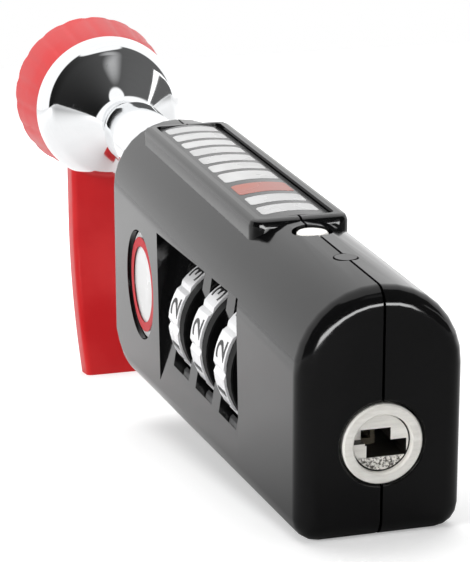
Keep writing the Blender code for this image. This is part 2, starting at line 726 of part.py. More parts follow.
def make_key_cylinder():
    """Sleeve, plug with its stepped keyway, wafers and the cam on the plug's tail."""
    bore = KEY_PLUG_RADIUS + SEATED_GAP
    front = -KEY_PROTRUSION
    profile = [
        (KEY_SLEEVE_RADIUS, KEY_LENGTH),
        (KEY_SLEEVE_RADIUS, front + EDGE_BREAK),
        (KEY_SLEEVE_RADIUS - EDGE_BREAK, front),
        (bore + EDGE_BREAK, front),
        (bore, front + EDGE_BREAK),
        (bore, KEY_LENGTH),
    ]
    turned_object("key_sleeve", profile, key_frame, (0, 0, 0), ALONG_Y, NICKEL, SMOOTH_STEPS, ring=True)

    face = KEY_FACE_RECESS
    tail = KEY_LENGTH - RUNNING_GAP
    profile = [
        (0, tail),
        (KEY_PLUG_RADIUS, tail),
        (KEY_PLUG_RADIUS, face),
        (0, face),
    ]
    plug = turned_object("key_plug", profile, key_frame, (0, 0, 0), ALONG_Y, NICKEL, SMOOTH_STEPS)
    depth = KEYWAY_DEPTH + CUT_OVERRUN
    middle = (KEYWAY_DEPTH - CUT_OVERRUN) / 2
    lap = KEYWAY_LAP
    for name, width, height, shift, rise in (
        ("keyway_upper", KEYWAY_UPPER_WIDTH, KEYWAY_UPPER_HEIGHT, KEYWAY_UPPER_SHIFT, 1),
        ("keyway_lower", KEYWAY_LOWER_WIDTH, KEYWAY_LOWER_HEIGHT, KEYWAY_LOWER_SHIFT, -1),
    ):
        slot = box_mesh(name, (width, depth, height + lap))
        place = (shift, middle, rise * (height - lap) / 2)
        cut_with(plug, add_object(name, slot, key_frame, place), name)
    notch_size = (2 * KEYWAY_NOTCH_WIDTH, 2 * KEYWAY_NOTCH_DEPTH, KEYWAY_UPPER_HEIGHT)
    notch = box_mesh("keyway_notch", notch_size)
    place = (KEYWAY_UPPER_SHIFT - KEYWAY_UPPER_WIDTH / 2, face, KEYWAY_UPPER_HEIGHT / 2)
    cut_with(plug, add_object("keyway_notch", notch, key_frame, place), "notch")
    wafer_width = KEYWAY_UPPER_WIDTH - 2 * RUNNING_GAP
    wafer_height = 2 * KEY_PLUG_RADIUS * WAFER_HEIGHT_SHARE
    for i in range(WAFER_COUNT):
        y = face + WAFER_FIRST + i * WAFER_PITCH
        slot_size = (
            wafer_width + 2 * SEATED_GAP,
            WAFER_THICKNESS + 2 * SEATED_GAP,
            wafer_height + 2 * SEATED_GAP,
        )
        place = (KEYWAY_UPPER_SHIFT, y, 0)
        slot = add_object(f"wafer_slot_{i + 1}", box_mesh("wafer_slot", slot_size), key_frame, place)
        cut_with(plug, slot, slot.name)
        wafer = box_mesh("wafer", (wafer_width, WAFER_THICKNESS, wafer_height))
        piece = add_object(f"key_wafer_{i + 1}", wafer, key_frame, place, material=BRASS)
        share = WAFER_WINDOW_SHARE
        window = box_mesh("wafer_window", (wafer_width * share, 2 * WAFER_THICKNESS, wafer_height * share))
        hole = add_object(f"wafer_window_{i + 1}", window, key_frame, place)
        cut_with(piece, hole, "window")

    profile = [
        (0, CAM_THICKNESS),
        (CAM_RADIUS, CAM_THICKNESS),
        (CAM_RADIUS, 0),
        (0, 0),
    ]
    place = (0, KEY_LENGTH + RUNNING_GAP, 0)
    cam = turned_object("plug_cam", profile, key_frame, place, ALONG_Y, STEEL)
    flat = box_mesh("cam_flat", (2 * CAM_RADIUS, 4 * CAM_THICKNESS, CAM_RADIUS))
    place = (0, KEY_LENGTH, CAM_FLAT_CUT + CAM_RADIUS / 2)
    cut_with(cam, add_object("cam_flat", flat, key_frame, place), "flat")


def number_ring_outline():
    """Ten flat-topped facets with a round groove between each pair."""
    points = []
    groove_shares = (0, 0.12, 0.3, 0.5, 0.7, 0.88)
    for i in range(NUMBER_COUNT):
        for share in groove_shares:
            angle = 2 * pi * (i + share) / NUMBER_COUNT
            radius = NUMBER_RING_RADIUS - (SCALLOP_DEPTH if share == 0 else 0)
            points.append((radius * cos(angle), radius * sin(angle)))
    return points


def circle_outline(radius, steps=ROUND_STEPS):
    turns = [2 * pi * i / steps for i in range(steps)]
    return [(radius * cos(turn), radius * sin(turn)) for turn in turns]


def make_dials():
    """Each dial: a black wheel with its grip band, a silver number ring and an inner sleeve."""
    near = -DIAL_WIDTH / 2
    step = near + GRIP_BAND_WIDTH
    far = DIAL_WIDTH / 2
    ring_seat = NUMBER_RING_BORE - SEATED_GAP
    bore = WHEEL_BORE
    for i, offset in enumerate(dial_offsets(), 1):
        profile = [
            (ring_seat, far),
            (ring_seat, step),
            (GRIP_BAND_RADIUS - EDGE_BREAK, step),
            (GRIP_BAND_RADIUS, step - EDGE_BREAK),
            (GRIP_BAND_RADIUS, near + EDGE_BREAK),
            (GRIP_BAND_RADIUS - EDGE_BREAK, near),
            (bore, near),
            (bore, far),
        ]
        place = (0, offset, 0)
        wheel = f"dial_wheel_{i}"
        turned_object(wheel, profile, dial_frame, place, ALONG_Y, BLACK_PLASTIC, SMOOTH_STEPS, ring=True)

        width = NUMBER_RING_WIDTH - SEATED_GAP
        hole = circle_outline(NUMBER_RING_BORE)
        mesh = outline_mesh(f"number_ring_{i}", number_ring_outline(), width, [hole])
        ring = add_object(f"number_ring_{i}", mesh, dial_frame, place, ALONG_Y, SILVER_BAND)
        bm = bmesh.new()
        bm.from_mesh(mesh)
        bmesh.ops.translate(bm, vec=(0, 0, step + SEATED_GAP), verts=bm.verts)
        bm.to_mesh(mesh)
        bm.free()
        ring.data.update()

        outer = bore - SEATED_GAP
        half = DIAL_WIDTH / 2 - SEATED_GAP
        profile = [(outer, half), (outer, -half), (SLEEVE_BORE, -half), (SLEEVE_BORE, half)]
        sleeve = turned_object(f"dial_sleeve_{i}", profile, dial_frame, place, ALONG_Y, BRASS, ring=True)
        gate = box_mesh(f"sleeve_gate_{i}", (SLEEVE_GATE_WIDTH, 2 * DIAL_WIDTH, FIN_RADIUS))
        cutter = add_object(f"sleeve_gate_{i}", gate, dial_frame, (0, offset, FIN_RADIUS / 2))
        cut_with(sleeve, cutter, "gate")


def make_spindle():
    """The rod through the sleeves, with a fin beside each dial."""
    fin_half = FIN_THICKNESS / 2
    profile = [(0, SPINDLE_FAR), (SPINDLE_RADIUS, SPINDLE_FAR)]
    for offset in reversed(dial_offsets()):
        centre = offset - DIAL_PITCH / 2 - SPINDLE_SHIFT / 2
        profile += [
            (SPINDLE_RADIUS, centre + fin_half),
            (FIN_RADIUS, centre + fin_half),
            (FIN_RADIUS, centre - fin_half),
            (SPINDLE_RADIUS, centre - fin_half),
        ]
    profile += [(SPINDLE_RADIUS, SPINDLE_NEAR), (0, SPINDLE_NEAR)]
    turned_object("dial_spindle", profile, dial_frame, (0, 0, 0), ALONG_Y, STEEL, COARSE_STEPS)


def make_detent():
    """A leaf spring with one hump for each dial."""
    length = DIAL_PITCH * DIAL_COUNT
    steps = DIAL_COUNT * HUMP_STEPS
    back = DETENT_HUMP + DETENT_THICKNESS
    inner = []
    outer = []
    for i in range(steps + 1):
        y = -length / 2 + length * i / steps
        hump = DETENT_HUMP * (0.5 - 0.5 * cos(2 * pi * DIAL_COUNT * i / steps))
        inner.append((back - DETENT_THICKNESS - hump, y))
        outer.append((back - hump, y))
    mesh = outline_mesh("detent_spring", inner + outer[::-1], DETENT_HEIGHT)
    place = (DETENT_X - DIAL_AXIS_X, 0, -DETENT_HEIGHT / 2)
    add_object("detent_spring", mesh, dial_frame, place, material=STEEL)


def flare_profile():
    """Rounded lip, trumpet and waist of the bolt head, from the rim back to the collar."""
    lip = []
    for i in range(ARC_STEPS + 1):
        angle = LIP_SWEEP * i / ARC_STEPS
        lip.append((RIM_RADIUS - LIP_WIDTH * (1 - cos(angle)), RIM_Y - EDGE_BREAK - LIP_DEPTH * sin(angle)))
    start_radius, start_y = lip[-1]
    flare = []
    for i in range(1, 2 * ARC_STEPS):
        share = i / (2 * ARC_STEPS)
        y = start_y + (FLARE_START - start_y) * share
        radius = NECK_RADIUS + (start_radius - NECK_RADIUS) * (1 - share) ** FLARE_CURVE_SHARE
        flare.append((radius, y))
    waist = []
    for i in range(ARC_STEPS + 1):
        share = i / ARC_STEPS
        y = FLARE_START + (NECK_START - FLARE_START) * share
        radius = NECK_RADIUS + (COLLAR_RADIUS - NECK_RADIUS) * (0.5 - 0.5 * cos(pi * share))
        waist.append((radius, y))
    return lip + flare + waist


def make_bolt():
    """The chromed bolt: flange, hub, lip, trumpet, waist, collar and grooved shank."""
    hub_end = GRIP_Y + GRIP_LIP_LENGTH + SEATED_GAP
    flange_end = GRIP_Y + GRIP_LENGTH - 2 * SEATED_GAP
    profile = [
        (0, flange_end),
        (FLANGE_RADIUS - EDGE_BREAK, flange_end),
        (FLANGE_RADIUS, flange_end - EDGE_BREAK),
        (FLANGE_RADIUS, hub_end),
        (HUB_RADIUS, hub_end),
        (HUB_RADIUS, RIM_Y),
        (RIM_RADIUS - EDGE_BREAK, RIM_Y),
    ]
    profile += flare_profile()
    groove = GROOVE_START - BODY_LENGTH
    inner = SHANK_INNER_END - BODY_LENGTH
    profile += [
        (COLLAR_RADIUS, COLLAR_START + EDGE_BREAK),
        (COLLAR_RADIUS - EDGE_BREAK, COLLAR_START),
        (SHANK_RADIUS, COLLAR_START),
        (SHANK_RADIUS, groove + GROOVE_WIDTH),
        (GROOVE_RADIUS, groove + GROOVE_WIDTH),
        (GROOVE_RADIUS, groove),
        (SHANK_RADIUS, groove),
        (SHANK_RADIUS, inner + SHANK_POINT),
        (SHANK_RADIUS - SHANK_POINT, inner),
        (0, inner),
    ]
    turned_object("bolt", profile, bolt_frame, (0, 0, 0), ALONG_Y, CHROME, SMOOTH_STEPS)

    bore = SHANK_RADIUS + RUNNING_GAP
    profile = [
        (BUSHING_RADIUS, -SEATED_GAP),
        (BUSHING_RADIUS, -BUSHING_LENGTH),
        (bore, -BUSHING_LENGTH),
        (bore, -SEATED_GAP),
    ]
    turned_object("bolt_bushing", profile, bolt_frame, (0, 0, 0), ALONG_Y, STEEL, ring=True)


def grooved_ring_mesh():
    """The grip's ring turned about local Z, with shallow grooves along its outer side."""
    bore = HUB_RADIUS + RUNNING_GAP
    counterbore = FLANGE_RADIUS + RUNNING_GAP
    far = GRIP_Y + GRIP_LENGTH
    step = GRIP_Y + GRIP_LIP_LENGTH
    edge = GRIP_EDGE_RADIUS
    profile = [(counterbore, far)]
    profile += arc_points((GRIP_RADIUS - edge, far - edge), edge, pi / 2, 0)
    profile += [(GRIP_FRONT_RADIUS, GRIP_Y + EDGE_BREAK), (GRIP_FRONT_RADIUS - EDGE_BREAK, GRIP_Y)]
    profile += [(bore, GRIP_Y), (bore, step), (counterbore, step)]
    bm = bmesh.new()
    verts = [bm.verts.new((radius, 0, height)) for radius, height in profile]
    edges = [bm.edges.new((verts[i], verts[(i + 1) % len(verts)])) for i in range(len(verts))]
    steps = GROOVE_STEPS * GRIP_GROOVE_COUNT
    geometry = verts + edges
    bmesh.ops.spin(
        bm, geom=geometry, axis=(0, 0, 1), cent=(0, 0, 0), angle=2 * pi, steps=steps, use_merge=True
    )
    for vert in bm.verts:
        across = vert.co.xy.length
        if across < (FLANGE_RADIUS + GRIP_FRONT_RADIUS) / 2:
            continue
        angle = atan2(vert.co.y, vert.co.x) + GRIP_GROOVE_TURN
        wave = ((1 + cos(GRIP_GROOVE_COUNT * angle)) / 2) ** 4
        share = 1 - GRIP_GROOVE_DEPTH * wave / across
        vert.co.x *= share
        vert.co.y *= share
    return finish_mesh("pull_grip", bm)


def tongue_side():
    """Side outline of the tongue in (y, z) of the bolt frame: straight, then bent forward."""
    back = GRIP_Y + TONGUE_THICKNESS
    start = -TONGUE_STRAIGHT
    centre = (back - TONGUE_BEND_RADIUS, start)
    reach = asin((TONGUE_REACH + CUT_OVERRUN - TONGUE_STRAIGHT) / TONGUE_BEND_RADIUS)
    outer = arc_points(centre, TONGUE_BEND_RADIUS, 0, -reach, 2 * ARC_STEPS)
    inner = arc_points(centre, TONGUE_BEND_RADIUS - TONGUE_THICKNESS, 0, -reach, 2 * ARC_STEPS)
    root = -(HUB_RADIUS + FLANGE_RADIUS) / 2
    return [(GRIP_Y, root), (back, root)] + outer + inner[::-1]


def lean_angle():
    """Lean at which the body's lower edge and the foot both touch the ground, and the foot in (y, z)."""
    reach = TONGUE_REACH - TONGUE_STRAIGHT
    forward = TONGUE_BEND_RADIUS - sqrt(TONGUE_BEND_RADIUS**2 - reach**2)
    foot_y = BODY_LENGTH + GRIP_Y + TONGUE_THICKNESS / 2 - forward
    foot_z = -BOLT_DROP - TONGUE_REACH
    lean = min(atan2(base_height(y) + inset - foot_z, foot_y - y) for y, inset in body_stations())
    return lean, Vector((foot_y, foot_z))


def make_grip():
    """Red grip: a grooved ring on the bolt head with a tongue that hangs to the ground."""
    grip = add_object("pull_grip", grooved_ring_mesh(), bolt_frame, turn=ALONG_Y, material=RED_PLASTIC)

    mesh = outline_mesh("tongue", tongue_side(), TONGUE_WIDTH)
    bm = bmesh.new()
    bm.from_mesh(mesh)
    corners = [
        edge
        for edge in bm.edges
        if edge.calc_face_angle(0) > CORNER_ANGLE and edge.verts[0].co.z == edge.verts[1].co.z
    ]
    bmesh.ops.bevel(bm, geom=corners, offset=TONGUE_EDGE_RADIUS, segments=3, affect="EDGES", profile=0.5)
    # Stand the outline up: its (x, y) become the lock's (y, z) and its thickness runs across.
    stand = Matrix(((0, 0, 1), (1, 0, 0), (0, 1, 0))).to_4x4()
    bmesh.ops.transform(bm, matrix=stand, verts=bm.verts)
    bmesh.ops.translate(bm, vec=(-TONGUE_WIDTH / 2, 0, 0), verts=bm.verts)
    bm.to_mesh(mesh)
    bm.free()
    cut_with(grip, add_object("tongue", mesh, bolt_frame), "tongue", "UNION")

    lean, foot = lean_angle()
    size = BODY_LENGTH
    ground = box_mesh("ground", (size, 3 * size, size))
    block = add_object("ground", ground, lock, turn=(-lean, 0, 0))
    block.location = (0, foot.x - size / 2 * sin(lean), foot.y - size / 2 * cos(lean))
    cut_with(grip, block, "foot")
    return lean


def helix_points(radius, length, turns):
    """Points on a coil that starts at zero height."""
    points = []
    for i in range(turns * COIL_STEPS + 1):
        turn = i / COIL_STEPS
        points.append((radius * cos(2 * pi * turn), radius * sin(2 * pi * turn), length * turn / turns))
    return points


def make_spring(name, radius, length, turns, place):
    """A coil spring of round wire, standing on place."""
    curve = bpy.data.curves.new(name, "CURVE")
    curve.dimensions = "3D"
    curve.bevel_depth = SPRING_WIRE_RADIUS
    curve.bevel_resolution = 1
    curve.use_fill_caps = True
    spline = curve.splines.new("POLY")
    points = helix_points(radius, length - 2 * SPRING_WIRE_RADIUS, turns)
    spline.points.add(len(points) - 1)
    for point, (x, y, z) in zip(spline.points, points):
        point.co = (x, y, z + SPRING_WIRE_RADIUS, 1)
    maker = bpy.data.objects.new(name, curve)
    CUTTERS.objects.link(maker)
    bpy.context.view_layer.update()
    evaluated = maker.evaluated_get(bpy.context.evaluated_depsgraph_get())
    bm = bmesh.new()
    bm.from_mesh(bpy.data.meshes.new_from_object(evaluated))
    bpy.data.objects.remove(maker, do_unlink=True)
    bmesh.ops.remove_doubles(bm, verts=bm.verts, dist=MERGE_DISTANCE)
    return add_object(name, finish_mesh(name, bm), lock, place, material=STEEL)


def make_latch():
    """The fork that rises into the bolt's groove, and the spring under it."""
    half = LATCH_WIDTH / 2
    centre = LATCH_TOP - SEATED_GAP
    notch = arc_points((0, 0), LATCH_NOTCH_RADIUS, 0, -pi, 2 * ARC_STEPS)
    notch = [(x, z + centre - LATCH_FOOT) for x, z in notch]
    outline = [(-half, 0), (half, 0), (half, LATCH_HEIGHT), (LATCH_NOTCH_RADIUS, LATCH_HEIGHT)]
    outline += notch
    outline += [(-LATCH_NOTCH_RADIUS, LATCH_HEIGHT), (-half, LATCH_HEIGHT)]
    mesh = outline_mesh("latch_plate", outline, LATCH_THICKNESS)
    place = (0, LATCH_Y + LATCH_THICKNESS / 2, LATCH_FOOT)
    add_object("latch_plate", mesh, lock, place, (pi / 2, 0, 0), STEEL)


def make_button():
    """The reset button, its flange and the spring below it."""
    top = -BUTTON_RECESS
    bottom = top - BUTTON_LENGTH
    flange = bottom + BUTTON_FLANGE_THICKNESS
    profile = [
        (0, top),
        (BUTTON_RADIUS - EDGE_BREAK, top),
        (BUTTON_RADIUS, top - EDGE_BREAK),
        (BUTTON_RADIUS, flange),
        (BUTTON_FLANGE_RADIUS, flange),
        (BUTTON_FLANGE_RADIUS, bottom),
        (0, bottom),
    ]
    place = (0, BUTTON_CENTRE_Y, 0)
    turned_object("reset_button", profile, lock, place, UPRIGHT, NICKEL)
    radius = BUTTON_FLANGE_RADIUS - 2 * SPRING_WIRE_RADIUS
    place = (0, BUTTON_CENTRE_Y, -BUTTON_FLOOR + SEATED_GAP)
    make_spring("reset_button_spring", radius, BUTTON_SPRING_LENGTH, BUTTON_SPRING_TURNS, place)


def make_fasteners():
    """The plug on the seam and the dowels that hold the halves together."""
    profile = [(0, 0), (PLUG_RADIUS, 0), (PLUG_RADIUS, -PLUG_LENGTH), (0, -PLUG_LENGTH)]
    turned_object("pin_plug", profile, lock, (0, PLUG_CENTRE_Y, 0), UPRIGHT, BLACK_PAINT)
    for i, (y, z) in enumerate(dowel_places(), 1):
        mesh = cylinder_mesh(f"dowel_{i}", DOWEL_RADIUS, DOWEL_LENGTH, COARSE_STEPS)
        add_object(f"dowel_{i}", mesh, lock, (-DOWEL_LENGTH / 2, y, z), ALONG_X, STEEL)


def stand_on_ground(lean):
    """Lean the lock and move it so that its box is centred over the origin, on the ground."""
    lock.rotation_euler = (lean, 0, 0)
    bpy.context.view_layer.update()
    depsgraph = bpy.context.evaluated_depsgraph_get()
    low = Vector((1, 1, 1))
    high = -low
    for item in PARTS.objects:
        if item.type == "EMPTY":
            continue
        evaluated = item.evaluated_get(depsgraph)
        mesh = evaluated.to_mesh()
        for vertex in mesh.vertices:
            place = item.matrix_world @ vertex.co
            low = Vector(map(min, low, place))
            high = Vector(map(max, high, place))
        evaluated.to_mesh_clear()
    lock.location = (-(low.x + high.x) / 2, -(low.y + high.y) / 2, -low.z)
    bpy.context.view_layer.update()


make_housing()
make_badge()
make_emblem()
make_key_cylinder()
make_dials()
make_spindle()
make_detent()
make_bolt()
LEAN = make_grip()
make_latch()
make_spring(
    "latch_spring",
    LATCH_SPRING_RADIUS,
    LATCH_SPRING_LENGTH,
    LATCH_SPRING_TURNS,
    (0, LATCH_Y, LATCH_SPRING_FOOT),
)
make_button()
make_fasteners()
stand_on_ground(LEAN)
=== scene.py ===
# Combination padlock with a pull-out bolt: looks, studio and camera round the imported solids
import json
import math

import bpy
from mathutils import Matrix, Vector

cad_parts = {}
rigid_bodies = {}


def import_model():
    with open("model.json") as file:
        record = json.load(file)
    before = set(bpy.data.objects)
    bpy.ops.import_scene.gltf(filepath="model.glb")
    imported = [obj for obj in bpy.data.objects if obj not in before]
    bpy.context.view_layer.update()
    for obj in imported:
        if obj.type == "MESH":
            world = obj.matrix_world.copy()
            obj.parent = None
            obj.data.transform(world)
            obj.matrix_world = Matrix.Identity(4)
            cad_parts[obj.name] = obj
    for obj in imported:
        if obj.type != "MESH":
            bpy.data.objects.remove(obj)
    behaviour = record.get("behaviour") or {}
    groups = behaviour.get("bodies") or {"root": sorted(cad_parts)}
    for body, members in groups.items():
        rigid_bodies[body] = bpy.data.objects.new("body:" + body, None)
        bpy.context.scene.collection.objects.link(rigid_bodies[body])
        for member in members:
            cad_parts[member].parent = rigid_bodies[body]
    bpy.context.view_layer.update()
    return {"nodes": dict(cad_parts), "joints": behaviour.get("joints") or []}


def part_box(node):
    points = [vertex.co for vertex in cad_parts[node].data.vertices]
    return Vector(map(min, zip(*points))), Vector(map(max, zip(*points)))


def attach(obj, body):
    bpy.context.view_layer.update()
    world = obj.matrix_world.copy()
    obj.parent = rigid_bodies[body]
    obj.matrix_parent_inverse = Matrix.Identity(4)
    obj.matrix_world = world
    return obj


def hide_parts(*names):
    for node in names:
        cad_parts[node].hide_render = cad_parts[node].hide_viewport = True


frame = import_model()
nodes = frame["nodes"]
joints = {joint["name"]: joint for joint in frame["joints"]}

mm = 0.001
mergeGap = 0.002 * mm  # points nearer than this become one
smoothBelow = 35  # degrees; a flatter edge is shaded smooth


def axesMatrix(x, y, z, origin):
    return Matrix((
        (x.x, y.x, z.x, origin.x),
        (x.y, y.y, z.y, origin.y),
        (x.z, y.z, z.z, origin.z),
        (0, 0, 0, 1),
    ))


# the lock leans: its own axes come from the key's joint, so the looks follow the solids
keyDrop = 14.9 * mm  # from the crown down to the key's axis
keyPoint = Vector(joints["key_turn"]["pos_m"])
along = Vector(joints["key_turn"]["axis"]).normalized()
across = Vector((1, 0, 0))
upward = across.cross(along)
lockPlace = axesMatrix(across, along, upward, keyPoint + upward * keyDrop)
print("stage: frame loaded,", len(nodes), "nodes")


def deselectAll():
    if bpy.context.object and bpy.context.object.mode != "OBJECT":
        bpy.ops.object.mode_set(mode="OBJECT")
    for item in bpy.context.view_layer.objects:
        item.select_set(False)


def pick(item):
    deselectAll()
    item.select_set(True)
    bpy.context.view_layer.objects.active = item


def editAll(item):
    pick(item)
    bpy.ops.object.mode_set(mode="EDIT")
    bpy.ops.mesh.select_mode(type="VERT")
    bpy.ops.mesh.select_all(action="SELECT")


def placeInMesh(item, place):
    # the finished object sits at the origin and its place is in its mesh
    pick(item)
    bpy.ops.object.transform_apply(location=True, rotation=True, scale=True)
    item.data.transform(place)
    item.data.update()


def dress(item, body, material, replaced=()):
    item.data.materials.clear()
    item.data.materials.append(material)
    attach(item, body)
    if replaced:
        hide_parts(*replaced)


def cleanCopy(nodeName, pieceName, smoothAngle=smoothBelow, flatAngle=0.3):
    # a copy of a solid's loose triangles, merged, its flats made whole and its rounds smooth
    piece = bpy.data.objects.new(pieceName, nodes[nodeName].data.copy())
    bpy.context.scene.collection.objects.link(piece)
    pick(piece)
    bpy.ops.mesh.customdata_custom_splitnormals_clear()
    editAll(piece)
    bpy.ops.mesh.remove_doubles(threshold=0.003 * mm)
    if flatAngle:
        bpy.ops.mesh.dissolve_limited(angle_limit=math.radians(flatAngle))
    bpy.ops.mesh.normals_make_consistent(inside=False)
    bpy.ops.object.mode_set(mode="OBJECT")
    bpy.ops.object.shade_smooth_by_angle(angle=math.radians(smoothAngle))
    return piece


def weighNormals(piece):
    # broad flats keep an even shade up to the rounds beside them
    weigh = piece.modifiers.new("weigh", "WEIGHTED_NORMAL")
    weigh.keep_sharp = True
    weigh.weight = 50
    pick(piece)
    bpy.ops.object.modifier_apply(modifier=weigh.name)


def closeAndSmooth(piece):
    editAll(piece)
    bpy.ops.mesh.remove_doubles(threshold=mergeGap)
    bpy.ops.mesh.normals_make_consistent(inside=False)
    bpy.ops.object.mode_set(mode="OBJECT")
    bpy.ops.object.shade_smooth_by_angle(angle=math.radians(smoothBelow))


def arc(centreX, centreZ, radius, start, end, steps):
    turns = [math.radians(start + (end - start) * i / steps) for i in range(steps + 1)]
    return [
        (centreX + radius * math.cos(turn), centreZ + radius * math.sin(turn)) for turn in turns
    ]


def spinProfile(name, profile, steps, closed=False):
    # one vertex is extruded along the profile (radius, height) and spun about local Z
    deselectAll()
    bpy.ops.mesh.primitive_plane_add(size=mm)
    piece = bpy.context.object
    piece.name = name
    editAll(piece)
    bpy.ops.mesh.merge(type="CENTER")
    bpy.ops.transform.translate(value=(profile[0][0], 0, profile[0][1]))
    points = list(profile) + ([profile[0]] if closed else [])
    for (fromX, fromZ), (toX, toZ) in zip(points, points[1:]):
        step = (toX - fromX, 0, toZ - fromZ)
        bpy.ops.mesh.extrude_vertices_move(TRANSFORM_OT_translate={"value": step})
    bpy.ops.mesh.select_all(action="SELECT")
    bpy.ops.mesh.spin(steps=steps, angle=2 * math.pi, center=(0, 0, 0), axis=(0, 0, 1))
    closeAndSmooth(piece)
    return piece


def roundedFace(name, width, length, corner):
    # a flat rectangle with rounded corners, left in edit mode with its face selected
    deselectAll()
    bpy.ops.mesh.primitive_plane_add(size=1)
    piece = bpy.context.object
    piece.name = name
    editAll(piece)
    bpy.ops.transform.resize(value=(width, length, 1))
    bpy.ops.mesh.bevel(offset=corner, segments=6, affect="VERTICES")
    bpy.ops.mesh.select_mode(type="FACE")
    bpy.ops.mesh.select_all(action="SELECT")
    return piece


def cutAcross(piece, reach, count):
    # straight cuts across X from -reach to reach, so that the piece can follow a round surface
    editAll(piece)
    for i in range(1, count):
        bpy.ops.mesh.select_all(action="SELECT")
        cut = (-reach + 2 * reach * i / count, 0, 0)
        bpy.ops.mesh.bisect(plane_co=cut, plane_no=(1, 0, 0))
    bpy.ops.object.mode_set(mode="OBJECT")


def wrapRound(piece, radius):
    # X becomes the way round a cylinder about local Y, Z the height above its surface
    for vertex in piece.data.vertices:
        turn = vertex.co.x / radius
        out = radius + vertex.co.z
        vertex.co.x = out * math.sin(turn)
        vertex.co.z = out * math.cos(turn) - radius
    piece.data.update()


def feed(tree, socket, value):
    # a number or a colour is set on the socket, and another node's output is linked to it
    if isinstance(value, (int, float)):
        socket.default_value = value
    elif isinstance(value, tuple):
        socket.default_value = (*value, 1)
    else:
        tree.links.new(value, socket)


def noise(tree, vector, scale, detail, roughness):
    node = tree.nodes.new("ShaderNodeTexNoise")
    tree.links.new(vector, node.inputs["Vector"])
    feed(tree, node.inputs["Scale"], scale)
    node.inputs["Detail"].default_value = detail
    node.inputs["Roughness"].default_value = roughness
    return node.outputs["Fac"]


def spread(tree, value, low, high, toLow=0, toHigh=1):
    # value between low and high becomes toLow to toHigh, with soft ends
    node = tree.nodes.new("ShaderNodeMapRange")
    node.interpolation_type = "SMOOTHSTEP"
    tree.links.new(value, node.inputs["Value"])
    ends = {"From Min": low, "From Max": high, "To Min": toLow, "To Max": toHigh}
    for socketName, amount in ends.items():
        feed(tree, node.inputs[socketName], amount)
    return node.outputs["Result"]


def combine(tree, operation, first, *others):
    # each further value is taken together with the result so far
    result = first
    for value in others:
        node = tree.nodes.new("ShaderNodeMath")
        node.operation = operation
        feed(tree, node.inputs[0], result)
        feed(tree, node.inputs[1], value)
        result = node.outputs["Value"]
    return result


def withoutSign(tree, value):
    node = tree.nodes.new("ShaderNodeMath")
    node.operation = "ABSOLUTE"
    tree.links.new(value, node.inputs[0])
    return node.outputs["Value"]


def mixColour(tree, share, first, second):
    node = tree.nodes.new("ShaderNodeMix")
    node.data_type = "RGBA"
    feed(tree, node.inputs["Factor"], share)
    feed(tree, node.inputs[6], first)  # 6 and 7 are the node's two colours, and 2 its result
    feed(tree, node.inputs[7], second)
    return node.outputs[2]


def splitAxes(tree, vector):
    node = tree.nodes.new("ShaderNodeSeparateXYZ")
    tree.links.new(vector, node.inputs["Vector"])
    return node.outputs["X"], node.outputs["Y"], node.outputs["Z"]


def newGroup(name, inputs, outputs):
    group = bpy.data.node_groups.new(name, "ShaderNodeTree")
    group.interface.new_socket(name="Vector", in_out="INPUT", socket_type="NodeSocketVector")
    for socketName, value in inputs.items():
        socket = group.interface.new_socket(
            name=socketName, in_out="INPUT", socket_type="NodeSocketFloat")
        socket.default_value = value
    for socketName in outputs:
        group.interface.new_socket(
            name=socketName, in_out="OUTPUT", socket_type="NodeSocketFloat")
    given = group.nodes.new("NodeGroupInput").outputs
    return group, given, group.nodes.new("NodeGroupOutput").inputs


def handlingGroup():
    # hairline marks in two directions, few and faint, with a slow smudge
    group, given, result = newGroup(
        "handlingMarks", {"Size": 900.0, "Reach": 0.72}, ("Marks", "Smudge"))
    directions = (((0.3, 0.2, 0.5), (1, 0.04, 1)), ((0.1, 0.9, 2.1), (0.05, 1, 1)))
    softness = 0.06
    lines = []
    for turn, stretch in directions:
        mapping = group.nodes.new("ShaderNodeMapping")
        mapping.inputs["Rotation"].default_value = turn
        mapping.inputs["Scale"].default_value = stretch
        group.links.new(given["Vector"], mapping.inputs["Vector"])
        streak = noise(
            group, mapping.outputs["Vector"], given["Size"], detail=3, roughness=0.6)
        top = combine(group, "ADD", given["Reach"], softness)
        lines.append(spread(group, streak, given["Reach"], top))
    slow = noise(group, given["Vector"], scale=140, detail=3, roughness=0.55)
    group.links.new(combine(group, "MAXIMUM", *lines), result["Marks"])
    group.links.new(spread(group, slow, low=0.35, high=0.7), result["Smudge"])
    return group


def peelGroup():
    # the slight ripple of sprayed paint or moulded plastic, and the finest grain on it
    group, given, result = newGroup(
        "paintPeel", {"Ripple": 700.0, "Grain": 6000.0, "Grain Share": 0.2}, ("Height",))
    ripple = noise(group, given["Vector"], given["Ripple"], detail=1, roughness=0.4)
    grain = noise(group, given["Vector"], given["Grain"], detail=2, roughness=0.5)
    weak = combine(group, "MULTIPLY", grain, given["Grain Share"])
    group.links.new(combine(group, "ADD", ripple, weak), result["Height"])
    return group


def dustGroup():
    # fine specks that lie on what faces up
    group, given, result = newGroup("settledDust", {"Size": 2600.0, "Amount": 0.5}, ("Mask",))
    facing = group.nodes.new("ShaderNodeNewGeometry").outputs["Normal"]
    up = spread(group, splitAxes(group, facing)[2], low=0.2, high=1.0)
    fine = noise(group, given["Vector"], given["Size"], detail=4, roughness=0.7)
    specks = spread(group, fine, low=0.55, high=0.75)
    speckShare = 0.7  # the rest is an even haze
    specks = combine(group, "MULTIPLY", specks, speckShare)
    haze = combine(group, "ADD", specks, 1 - speckShare)
    group.links.new(combine(group, "MULTIPLY", up, haze, given["Amount"]), result["Mask"])
    return group


